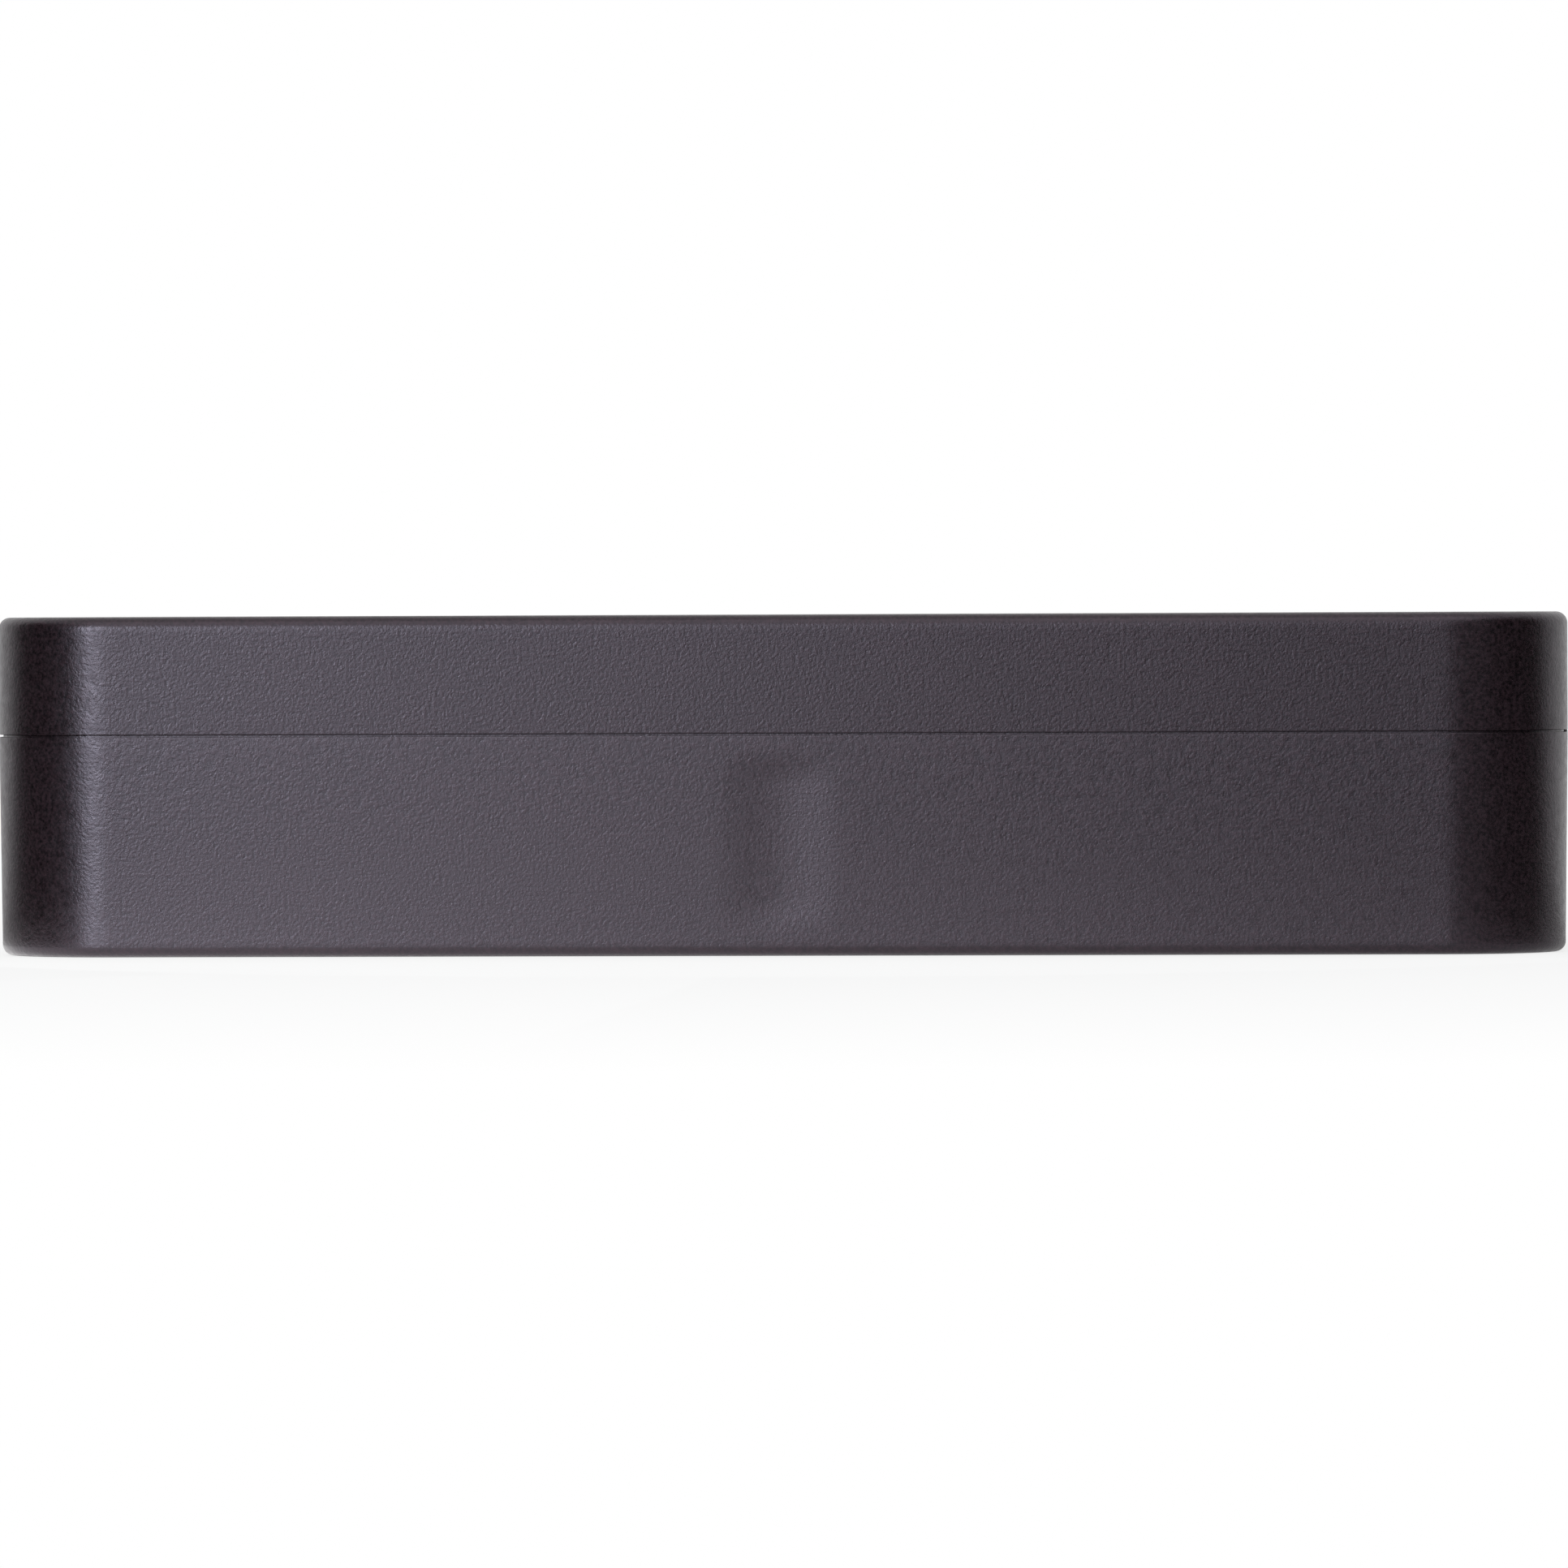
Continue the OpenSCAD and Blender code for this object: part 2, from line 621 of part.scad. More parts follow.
// A spring leaf of a pin contact, standing on the bar: upright, pinched in, then flared
module contact_leaf(side) {
    foot = 3.9;
    pinch = 2.25;
    flare = 3.1;
    top = z_strap - 0.6;
    face = [[foot - leaf_t, z_bar], [foot - leaf_t, z_bar + 3], [pinch, top - 4], [flare, top]];
    back = [for (k = [len(face) - 1:-1:0]) face[k] + [leaf_t, 0]];
    scale([side, 1, 1]) rotate([90, 0, 0]) linear_extrude(leaf_w, center = true)
        polygon(concat(face, back));
}

module pole_bar(side) {
    translate([bar_x0, side * pin_off - bar_w / 2, z_bar]) cube([bar_x1 - bar_x0, bar_w, bar_t]);
    translate([bar_x0, side * pin_off - tab_w / 2, z_bar]) cube([tab_t, tab_w, bar_tab_h]);
    for (i = [0:outlets - 1]) at_outlet(i)
        translate([side * pin_spacing / 2 * cos(outlet_turn), side * pin_off, 0])
            for (leaf = [0, 180]) rotate(leaf) contact_leaf(1);
}

module live_bar() color("#c79a4a") pole_bar(-1);

module neutral_bar() color("#c79a4a") pole_bar(1);

module earth_rail() color("#c79a4a") {
    translate([bar_x0 - 2, -rail_t / 2, z_rail]) cube([bar_x1 - bar_x0, rail_t, rail_h]);
    for (i = [0:outlets - 1]) at_outlet(i)
        translate([-tab_l / 2, -rail_t / 2, z_strap - 0.1]) cube([tab_l, rail_t, clip_t + 0.3]);
}

// ---- switch ----

module switch_housing() color("#2b292c") translate([switch_x, 0, 0]) {
    z_floor = z_switch_floor - switch_floor_t;
    end_wall = (switch_l - window_l) / 2;
    difference() {
        union() {
            slab(switch_l, switch_w, 1, z_floor, z_pocket);
            slab(switch_l + 2 * bezel_lap, switch_w + 2 * bezel_lap, 2.5, z_pocket, z_pocket + bezel_t);
            for (side = [-1, 1])
                translate([side * (switch_l / 2 + 0.1) - 0.7, -4, z_pocket - pocket_plate - 1.6])
                    cube([1.4, 8, 1.5]);
        }
        slab(window_l, window_w, 0.6, z_switch_floor, z_pocket + bezel_t + cut);
        translate([0, -window_w / 2 - switch_wall - fit, z_pivot]) rotate([-90, 0, 0])
            cylinder(r = trunnion_r + run_fit, h = window_w + 2 * (switch_wall + fit));
        for (y = [-1, 1]) {
            blade_slot(0, y * pole_y, z_floor);
            blade_slot(load_x, y * pole_y, z_floor);
        }
    }
    // Divider between the poles, with the seat of the lamp and its resistor
    translate([-window_l / 2 - end_wall / 2, -1, z_switch_floor - 0.5])
        cube([window_l + end_wall, 2, z_divider - z_switch_floor + 0.5]);
    translate([lamp_end + 0.1, -1, z_divider - 0.5]) cube([resistor_l, 2, lamp_r - resistor_r + 0.5]);
}

module blade_slot(x, y, z_floor) {
    translate([x - tab_w / 2 - run_fit, y - tab_t / 2 - run_fit, z_floor - cut])
        cube([tab_w + 2 * run_fit, tab_t + 2 * run_fit, switch_floor_t + 2 * cut]);
}

module rocker_section() {
    intersection() {
        circle(rocker_r);
        polygon([[-rocker_r, -rocker_skirt], [rocker_r, -rocker_skirt], [rocker_r, rocker_rise],
                 [0, rocker_dip], [-rocker_r, rocker_rise]]);
    }
}

// Places a piece of the rocker in its resting, switched-off tilt
module on_rocker() {
    translate([switch_x, 0, z_pivot]) rotate([0, rocker_tilt, 0]) children();
}

module rocker() color("#b3261e") on_rocker() {
    difference() {
        rotate([90, 0, 0]) linear_extrude(rocker_w, center = true) rocker_section();
        translate([-rocker_r + 2 * rocker_wall, -rocker_w / 2 + rocker_wall, -rocker_skirt - cut])
            cube([2 * rocker_r - 4 * rocker_wall, rocker_w - 2 * rocker_wall,
                  rocker_skirt + cut + rocker_ceiling]);
    }
    for (side = [-1, 1]) {
        translate([0, side * (rocker_w / 2 - 0.5), 0]) rotate([-90 * side, 0, 0])
            cylinder(r = trunnion_r, h = (window_w - rocker_w) / 2 + 0.5 + switch_wall - 0.2);
        translate([0, side * pole_y, -tube_drop]) difference() {
            cylinder(r = tube_r, h = tube_drop + rocker_ceiling + 0.3);
            translate([0, 0, -cut]) cylinder(r = tube_bore_r, h = tube_drop + rocker_ceiling + cut);
        }
    }
}

module plungers() color("#e8e6df") on_rocker() {
    for (side = [-1, 1]) translate([0, side * pole_y, -tip_drop]) {
        translate([0, 0, plunger_r]) sphere(plunger_r);
        translate([0, 0, plunger_r]) cylinder(r = plunger_r, h = plunger_l - plunger_r);
    }
}

module plunger_springs() color("#c9c9cc") on_rocker() {
    wire_r = 0.25;
    foot = -tip_drop + plunger_l + 0.02 + wire_r;
    for (side = [-1, 1]) translate([0, side * pole_y, 0])
        wire(coil_path(1.3, foot, rocker_ceiling - wire_r - 0.02 - foot, 5), wire_r);
}

module contact_bridges() color("#c98b5a") {
    for (side = [-1, 1])
        translate([switch_x, side * pole_y, z_bridge]) rotate([0, -bridge_tilt, 0]) {
            translate([-bridge_reach, -bridge_w / 2, -bridge_t / 2])
                cube([2 * bridge_reach, bridge_w, bridge_t]);
            intersection() {
                rotate([90, 0, 0]) cylinder(r = knuckle_r, h = bridge_w, center = true);
                translate([-2 * knuckle_r, -bridge_w, -3 * knuckle_r])
                    cube([4 * knuckle_r, 2 * bridge_w, 3 * knuckle_r]);
            }
            translate([contact_x, 0, -bridge_t / 2 - contact_h])
                cylinder(r = contact_r, h = contact_h + 0.1);
        }
}

module line_terminals() color("#c9c4b8") {
    for (side = [-1, 1]) translate([switch_x, side * pole_y, 0]) difference() {
        union() {
            translate([-tab_w / 2, -tab_t / 2, z_blade])
                cube([tab_w, tab_t, z_switch_floor + blade_foot - z_blade]);
            translate([-horn_w / 2, -tab_t / 2, z_blade]) cube([horn_w, tab_t, z_horn - z_blade]);
        }
        translate([0, 0, z_bridge]) rotate([90, 0, 0])
            cylinder(r = knuckle_r + run_fit, h = 2 * tab_t, center = true);
    }
}

module load_terminals() color("#c9c4b8") {
    for (side = [-1, 1]) translate([switch_x, side * pole_y, 0]) {
        z_seat = z_rivet - rivet_seat_t - rivet_h / 2 - 0.1;
        translate([load_x - tab_w / 2, -tab_t / 2, z_blade])
            cube([tab_w, tab_t, z_seat + 0.2 - z_blade]);
        translate([load_x - tab_w / 2, -bridge_w / 2, z_seat]) cube([tab_w, bridge_w, rivet_seat_t]);
        translate([contact_x, 0, z_rivet - rivet_h]) cylinder(r = contact_r, h = rivet_h);
    }
}

// An insulated lead with a socket on each end, from a load blade to a bar's tab
module lead(side) {
    blade_x = switch_x + load_x;
    z = z_blade + sleeve_h / 2 - 0.1;
    box_x = blade_x + tab_w / 2 + sleeve_end;
    difference() {
        union() {
            translate([blade_x - tab_w / 2 - sleeve_end, side * pole_y - tab_t / 2 - sleeve_wall,
                       z_blade - sleeve_end])
                cube([tab_w + 2 * sleeve_end, tab_t + 2 * sleeve_wall, sleeve_h]);
            translate([box_x - 0.2, side * pole_y, z]) rotate([0, 90, 0])
                cylinder(r = lead_r, h = bar_x0 - sleeve_wall - box_x + 0.4);
            translate([bar_x0 - sleeve_wall, side * pin_off - tab_w / 2 - sleeve_end, z - bar_sleeve_h / 3])
                cube([tab_t + 2 * sleeve_wall, tab_w + 2 * sleeve_end, bar_sleeve_h]);
        }
        translate([blade_x - tab_w / 2 - run_fit, side * pole_y - tab_t / 2 - run_fit, z_blade - run_fit])
            cube([tab_w + 2 * run_fit, tab_t + 2 * run_fit, sleeve_h + cut]);
        translate([bar_x0 - run_fit, side * pin_off - tab_w / 2 - run_fit, z - bar_sleeve_h])
            cube([tab_t + 2 * run_fit, tab_w + 2 * run_fit, z_bar + bar_tab_h + run_fit - z + bar_sleeve_h]);
    }
}

module live_lead() color("#6b3f22") lead(-1);

module neutral_lead() color("#2b5aa5") lead(1);

module neon_lamp() color("#e9b28c") translate([switch_x, 0, z_divider + lamp_r]) {
    translate([lamp_r - lamp_l, 0, 0]) rotate([0, 90, 0]) cylinder(r = lamp_r, h = lamp_l - lamp_r);
    translate([lamp_r - lamp_l, 0, 0]) sphere(lamp_r);
}

module lamp_resistor() color("#d7c59a") translate([switch_x, 0, z_divider + lamp_r]) {
    translate([lamp_end + 0.1, 0, 0]) rotate([0, 90, 0]) cylinder(r = resistor_r, h = resistor_l);
    rotate([0, 90, 0]) cylinder(r = 0.3, h = lamp_end + 0.2);
    translate([lamp_end + resistor_l, 0, 0]) rotate([0, 90, 0]) cylinder(r = 0.3, h = 1.6);
}

// ---- cord entry and screws ----

module cord_gland() color("#232224") translate([gland_x, gland_face, gland_z]) rotate([90, 0, 0]) {
    difference() {
        union() {
            cylinder(r = flange_r, h = flange_t);
            cylinder(r = gland_r, h = flange_t + gland_neck + collar_t);
            translate([0, 0, flange_t + gland_neck]) cylinder(r = collar_r, h = collar_t);
        }
        translate([0, 0, -cut]) cylinder(r = gland_bore_r, h = flange_t + gland_neck + collar_t + 2 * cut);
        translate([0, 0, -0.6]) cylinder(r1 = gland_bore_r + 1.2, r2 = gland_bore_r, h = 1.2);
    }
}

module cord_clamp() color("#d8d4c8") translate([gland_x, clamp_y, 0]) {
    difference() {
        translate([-clamp_reach - clamp_post_r, -clamp_w / 2, z_clamp])
            cube([2 * (clamp_reach + clamp_post_r), clamp_w, saddle_t]);
        translate([0, 0, gland_z]) rotate([90, 0, 0])
            cylinder(r = bite_r, h = clamp_w + 1, center = true);
        for (x = [-1, 1])
            translate([x * clamp_reach, 0, z_clamp - cut])
                cylinder(r = screw_r + 0.2, h = saddle_t + 2 * cut);
    }
}

// A cross-recess pan-head screw, its head at the bottom and its shank upwards
module screw(shank_l) {
    difference() {
        translate([0, 0, -head_h]) cylinder(r = head_r, h = head_h);
        for (a = [0, 90]) rotate(a) translate([-1.7, -0.35, -head_h - cut]) cube([3.4, 0.7, 1.2 + cut]);
    }
    translate([0, 0, -0.1]) cylinder(r = screw_r, h = shank_l - 0.7 + 0.1);
    translate([0, 0, shank_l - 0.7]) cylinder(r1 = screw_r, r2 = screw_r - 0.7, h = 0.7);
}

module clamp_screws() color("#b8b8ba") {
    for (x = [-1, 1])
        translate([gland_x + x * clamp_reach, clamp_y, z_clamp + saddle_t])
            rotate([180, 0, 0]) screw(clamp_screw_l);
}

module housing_screws() color("#b8b8ba") {
    for (p = screw_places) translate([p[0], p[1], z_boss - boss_web]) screw(screw_l);
}

top_cover();
base_shell();
socket_well(0);  // socket_well_1
socket_well(1);  // socket_well_2
socket_well(2);  // socket_well_3
socket_floor(0);  // socket_floor_1
socket_floor(1);  // socket_floor_2
socket_floor(2);  // socket_floor_3
shutter(0);  // shutter_1
shutter(1);  // shutter_2
shutter(2);  // shutter_3
shutter_spring(0);  // shutter_spring_1
shutter_spring(1);  // shutter_spring_2
shutter_spring(2);  // shutter_spring_3
shutter_plate(0);  // shutter_plate_1
shutter_plate(1);  // shutter_plate_2
shutter_plate(2);  // shutter_plate_3
earth_clip(0);  // earth_clip_1
earth_clip(1);  // earth_clip_2
earth_clip(2);  // earth_clip_3
contact_tray();
live_bar();
neutral_bar();
earth_rail();
switch_housing();
rocker();
plungers();
plunger_springs();
contact_bridges();
line_terminals();
load_terminals();
live_lead();
neutral_lead();
neon_lamp();
lamp_resistor();
cord_gland();
cord_clamp();
clamp_screws();
housing_screws();
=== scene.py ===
import json
from math import asin, atan, cos, pi, radians, sin, tan

import bmesh
import bpy
from mathutils import Matrix, Vector

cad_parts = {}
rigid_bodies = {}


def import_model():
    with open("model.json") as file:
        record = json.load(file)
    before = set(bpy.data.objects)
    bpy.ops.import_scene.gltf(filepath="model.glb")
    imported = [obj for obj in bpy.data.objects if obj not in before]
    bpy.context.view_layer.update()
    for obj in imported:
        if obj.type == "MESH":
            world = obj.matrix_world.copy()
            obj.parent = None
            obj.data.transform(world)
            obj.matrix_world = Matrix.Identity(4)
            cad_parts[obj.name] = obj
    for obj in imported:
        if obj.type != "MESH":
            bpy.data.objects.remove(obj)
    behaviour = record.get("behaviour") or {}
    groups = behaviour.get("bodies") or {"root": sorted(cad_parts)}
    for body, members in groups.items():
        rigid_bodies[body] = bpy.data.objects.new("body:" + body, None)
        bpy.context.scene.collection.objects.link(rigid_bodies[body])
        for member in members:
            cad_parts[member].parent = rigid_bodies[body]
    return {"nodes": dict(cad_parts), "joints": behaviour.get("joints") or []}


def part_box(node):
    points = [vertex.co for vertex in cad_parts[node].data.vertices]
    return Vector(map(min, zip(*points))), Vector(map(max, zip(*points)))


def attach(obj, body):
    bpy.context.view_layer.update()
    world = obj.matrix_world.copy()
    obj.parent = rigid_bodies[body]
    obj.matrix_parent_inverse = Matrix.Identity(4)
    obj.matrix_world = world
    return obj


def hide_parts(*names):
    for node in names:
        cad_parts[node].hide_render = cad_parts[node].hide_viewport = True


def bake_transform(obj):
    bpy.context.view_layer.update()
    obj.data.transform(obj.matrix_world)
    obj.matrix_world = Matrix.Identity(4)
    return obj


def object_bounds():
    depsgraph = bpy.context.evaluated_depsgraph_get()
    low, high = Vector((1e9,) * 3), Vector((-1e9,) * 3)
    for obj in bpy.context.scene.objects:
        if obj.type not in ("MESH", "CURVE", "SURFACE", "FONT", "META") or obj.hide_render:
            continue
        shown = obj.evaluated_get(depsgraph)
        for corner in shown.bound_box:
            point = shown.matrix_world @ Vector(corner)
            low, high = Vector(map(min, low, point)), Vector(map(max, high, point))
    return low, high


for leftover in list(bpy.data.objects):  # the few objects that a new file starts with
    bpy.data.objects.remove(leftover)
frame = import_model()
cadLow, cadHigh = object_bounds()
print("frame loaded:", len(frame["nodes"]), "nodes")

mm = 0.001
near = 0.001 * mm  # a point this close to a height or a radius is on it
touching = 0.0001 * mm  # points this close to each other are one
past = 1 * mm  # how far a cutter runs past the face that it opens
sunk = 0.5 * mm  # how far a joined shape reaches into its neighbour
sharpBend = radians(60)  # a steeper bend between two faces is a corner to round
scene = bpy.context.scene


def middleOf(node):
    low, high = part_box(node)
    return (low + high) / 2


wellNames = ["socket_well_1", "socket_well_2", "socket_well_3"]
wellPlaces = [middleOf(name).xy for name in wellNames]
betweenWells = (wellPlaces[0].x + wellPlaces[1].x) / 2
joints = {joint["name"]: joint for joint in frame["joints"]}
switchPivot = Vector(joints["rocker_tilt"]["pos_m"])

# What both halves of the housing share. A rounded edge here and below is a radius and its steps
housing = {
    "cornerRadius": 15 * mm,
    "cornerSteps": 28,
    "cornerSupport": 1.2 * mm,
    "wall": 2 * mm,
    "plate": 2.2 * mm,
    "seamHeight": 27.3 * mm,
    "seamGap": 0.28 * mm,
    "seamEdge": (0.06 * mm, 2),
    "seamLand": 0.15 * mm,
    "edgeLand": 0.6 * mm,
    "screwInset": 8.5 * mm,
    "middleScrewInset": 6.5 * mm,
    "bossTop": 24 * mm,
}


def awayFrom(core, point):
    # A core is the centre and the half sizes of the plain rectangle inside an outline's corners
    x = point.x - min(max(point.x, core[0] - core[2]), core[0] + core[2])
    y = point.y - min(max(point.y, core[1] - core[3]), core[1] + core[3])
    return Vector((x, y, 0))


def outline(bm, size, radius, centre=(0, 0), height=0.0, steps=8, support=0.0, cuts=()):
    # A rounded rectangle of edges, with extra points beside its corners and at the cuts
    before = set(bm.faces)
    corners = bmesh.ops.create_grid(bm, x_segments=1, y_segments=1, size=0.5)["verts"]
    bmesh.ops.scale(bm, vec=(size[0], size[1], 1), verts=corners)
    bmesh.ops.translate(bm, vec=(centre[0], centre[1], height), verts=corners)
    bmesh.ops.bevel(bm, geom=corners, affect="VERTICES", offset=radius, offset_type="OFFSET",
                    segments=steps, profile=0.5, material=-1)
    core = (centre[0], centre[1], size[0] / 2 - radius, size[1] / 2 - radius)
    planes = [((x, 0, 0), (1, 0, 0)) for x in cuts]
    if support:
        for side in (-1, 1):
            planes.append(((core[0] + side * (core[2] - support), 0, 0), (1, 0, 0)))
            planes.append(((0, core[1] + side * (core[3] - support), 0), (0, 1, 0)))
    for place, normal in planes:
        faces = [face for face in bm.faces if face not in before]
        parts = {part for face in faces for part in (*face.verts, *face.edges)}
        bmesh.ops.bisect_plane(bm, geom=list(parts) + faces, dist=touching,
                               plane_co=place, plane_no=normal)
    faces = [face for face in bm.faces if face not in before]
    rim = list({edge for face in faces for edge in face.edges if edge.is_boundary})
    bmesh.ops.delete(bm, geom=faces, context="FACES_KEEP_BOUNDARY")
    return [edge for edge in rim if edge.is_valid], core


def ring(bm, radius, centre=(0, 0), height=0.0, steps=48):
    points = bmesh.ops.create_circle(bm, segments=steps, radius=radius)["verts"]
    bmesh.ops.translate(bm, vec=(centre[0], centre[1], height), verts=points)
    edges = list({edge for point in points for edge in point.link_edges})
    return edges, (centre[0], centre[1], 0.0, 0.0)


def pointsOf(made):
    return [part for part in made if isinstance(part, bmesh.types.BMVert)]


def edgesOf(made):
    return [part for part in made if isinstance(part, bmesh.types.BMEdge)]


def step(bm, edges, core, inset=0.0, rise=0.0):
    # Extrudes a closed run of edges, inwards by inset and up by rise
    made = bmesh.ops.extrude_edge_only(bm, edges=edges)["geom"]
    points = set(pointsOf(made))
    for point in points:
        if inset:
            point.co -= awayFrom(core, point.co).normalized() * inset
        point.co.z += rise
    return [edge for edge in edgesOf(made) if edge.verts[0] in points and edge.verts[1] in points]


def fillBetween(bm, edges):
    bmesh.ops.triangle_fill(bm, edges=edges, use_beauty=True, normal=(0, 0, 1))


def cap(bm, edges):
    bmesh.ops.edgeloop_fill(bm, edges=edges)


def roundOff(bm, edges, radius, steps):
    bmesh.ops.bevel(bm, geom=edges, affect="EDGES", offset=radius, offset_type="OFFSET",
                    segments=steps, profile=0.5, material=-1, clamp_overlap=False)


def closeAndRound(bm, faces, rounded):
    # Fills each flat face between its rims, then rounds the edges that were noted on the way
    for rims in faces:
        fillBetween(bm, rims)
    for edges, radius, steps in rounded:
        roundOff(bm, edges, radius, steps)


def revolve(bm, corners, axis, steps):
    # Spins a closed outline once round an axis through the origin
    points = [bm.verts.new(corner) for corner in corners]
    lines = [bm.edges.new((points[i], points[(i + 1) % len(points)])) for i in range(len(points))]
    bmesh.ops.spin(bm, geom=points + lines, cent=(0, 0, 0), axis=axis, angle=2 * pi,
                   steps=steps, use_merge=True)
    bmesh.ops.remove_doubles(bm, verts=bm.verts, dist=touching)


def circleEdges(bm, axis, height, radius):
    # The edges at one height along an axis, x, y or z as 0, 1 or 2, and one radius from it
    def onCircle(place):
        across = place.copy()
        across[axis] = 0
        return abs(place[axis] - height) < near and abs(across.length - radius) < near

    return [edge for edge in bm.edges if all(onCircle(point.co) for point in edge.verts)]


def turnAndPlace(bm, degrees, centre):
    turn = Matrix.Rotation(radians(degrees), 4, "Z")
    bmesh.ops.transform(bm, matrix=Matrix.Translation((centre[0], centre[1], 0)) @ turn, verts=bm.verts)


def asMesh(bm, name):
    bmesh.ops.recalc_face_normals(bm, faces=bm.faces)
    mesh = bpy.data.meshes.new(name)
    bm.to_mesh(mesh)
    bm.free()
    return mesh


def newPiece(name, bm, material, body, replaced=()):
    piece = bpy.data.objects.new(name, asMesh(bm, name))
    scene.collection.objects.link(piece)
    piece.data.materials.append(material)
    if body:
        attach(piece, body)
    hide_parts(*replaced)
    return piece


def carve(piece, bm, operation="DIFFERENCE"):
    # Cuts a closed shape out of a piece, or joins it on
    tool = bpy.data.objects.new("tool", asMesh(bm, "tool"))
    scene.collection.objects.link(tool)
    cutting = piece.modifiers.new("carve", "BOOLEAN")
    cutting.object, cutting.operation, cutting.solver = tool, operation, "EXACT"
    graph = bpy.context.evaluated_depsgraph_get()
    result = bpy.data.meshes.new_from_object(piece.evaluated_get(graph))
    piece.modifiers.clear()
    piece.data, old = result, piece.data
    bpy.data.meshes.remove(old)
    bpy.data.objects.remove(tool)


def shadeSmooth(piece, sharpAngle=32):
    # Smooth, but for the edges that bend by more degrees than this
    piece.data.shade_smooth()
    piece.data.set_sharp_from_angle(angle=radians(sharpAngle))


def rod(bm, radius, start, end, steps=48):
    # A closed cylinder from one point to another
    start, end = Vector(start), Vector(end)
    turn = (end - start).to_track_quat("Z", "Y").to_matrix().to_4x4()
    bmesh.ops.create_cone(bm, cap_ends=True, segments=steps, radius1=radius, radius2=radius,
                          depth=(end - start).length,
                          matrix=Matrix.Translation((start + end) / 2) @ turn)


def block(bm, low, high):
    points = bmesh.ops.create_cube(bm, size=1)["verts"]
    low, high = Vector(low), Vector(high)
    bmesh.ops.scale(bm, vec=high - low, verts=points)
    bmesh.ops.translate(bm, vec=(low + high) / 2, verts=points)
    return points


def innerOutline(bm, height, cuts=()):
    # The inner face of the housing's wall, seen from above
    size = cadHigh.xy - cadLow.xy
    wall = housing["wall"]
    return outline(bm, (size[0] - 2 * wall, size[1] - 2 * wall), housing["cornerRadius"] - wall,
                   height=height, steps=housing["cornerSteps"], support=housing["cornerSupport"],
                   cuts=cuts)


def screwPlaces():
    # Four in the corners, then the two between the first outlets
    x = cadHigh.x - housing["screwInset"]
    y = cadHigh.y - housing["screwInset"]
    middle = cadHigh.y - housing["middleScrewInset"]
    corners = [(sideX * x, sideY * y) for sideX in (-1, 1) for sideY in (-1, 1)]
    return corners + [(betweenWells, -middle), (betweenWells, middle)]


def newMaterial(name, colour, roughness, metallic=0.0, tint=(1, 1, 1)):
    material = bpy.data.materials.new(name)
    material.use_nodes = True
    material.diffuse_color = (*colour, 1)
    tree = material.node_tree
    shader = tree.nodes["Principled BSDF"]
    shader.inputs["Base Color"].default_value = (*colour, 1)
    shader.inputs["Roughness"].default_value = roughness
    shader.inputs["Metallic"].default_value = metallic
    shader.inputs["Specular Tint"].default_value = (*tint, 1)
    return material, tree, shader


def surfacePlace(tree, stretch=(1, 1, 1)):
    where = tree.nodes.new("ShaderNodeTexCoord")
    mapping = tree.nodes.new("ShaderNodeMapping")
    mapping.inputs["Scale"].default_value = stretch
    tree.links.new(where.outputs["Object"], mapping.inputs["Vector"])
    return mapping.outputs["Vector"]


def noise(tree, place, size, detail=2.0, rough=0.5, distort=0.0):
    node = tree.nodes.new("ShaderNodeTexNoise")
    node.inputs["Scale"].default_value = 1 / size
    node.inputs["Detail"].default_value = detail
    node.inputs["Roughness"].default_value = rough
    node.inputs["Distortion"].default_value = distort
    tree.links.new(place, node.inputs["Vector"])
    return node.outputs["Fac"]


def between(tree, factor, low, high, start=0.0, end=1.0):
    # Maps a 0 to 1 pattern to a range of numbers
    node = tree.nodes.new("ShaderNodeMapRange")
    node.inputs["From Min"].default_value = start
    node.inputs["From Max"].default_value = end
    node.inputs["To Min"].default_value = low
    node.inputs["To Max"].default_value = high
    tree.links.new(factor, node.inputs["Value"])
    return node.outputs["Result"]


def tones(tree, factor, stops):
    node = tree.nodes.new("ShaderNodeValToRGB")
    ramp = node.color_ramp
    for index, (place, colour) in enumerate(stops):
        element = ramp.elements[index] if index < 2 else ramp.elements.new(place)
        element.position = place
        element.color = (*colour, 1)
    tree.links.new(factor, node.inputs["Fac"])
    return node.outputs["Color"]


def relief(tree, height, depth):
    node = tree.nodes.new("ShaderNodeBump")
    node.inputs["Distance"].default_value = depth
    tree.links.new(height, node.inputs["Height"])
    return node.outputs["Normal"]


def rippled(tree, shader, place, size, detail, depth):
    # Fine unevenness that only the shading shows
    tree.links.new(relief(tree, noise(tree, place, size, detail), depth), shader.inputs["Normal"])


def clouded(tree, shader, pattern, low, high):
    # Base colour between two tones, each at its place in a 0 to 1 pattern
    tree.links.new(tones(tree, pattern, [low, high]), shader.inputs["Base Color"])


def shades(colour, spread):
    return [tuple(channel * factor for channel in colour) for factor in (1 - spread, 1 + spread)]


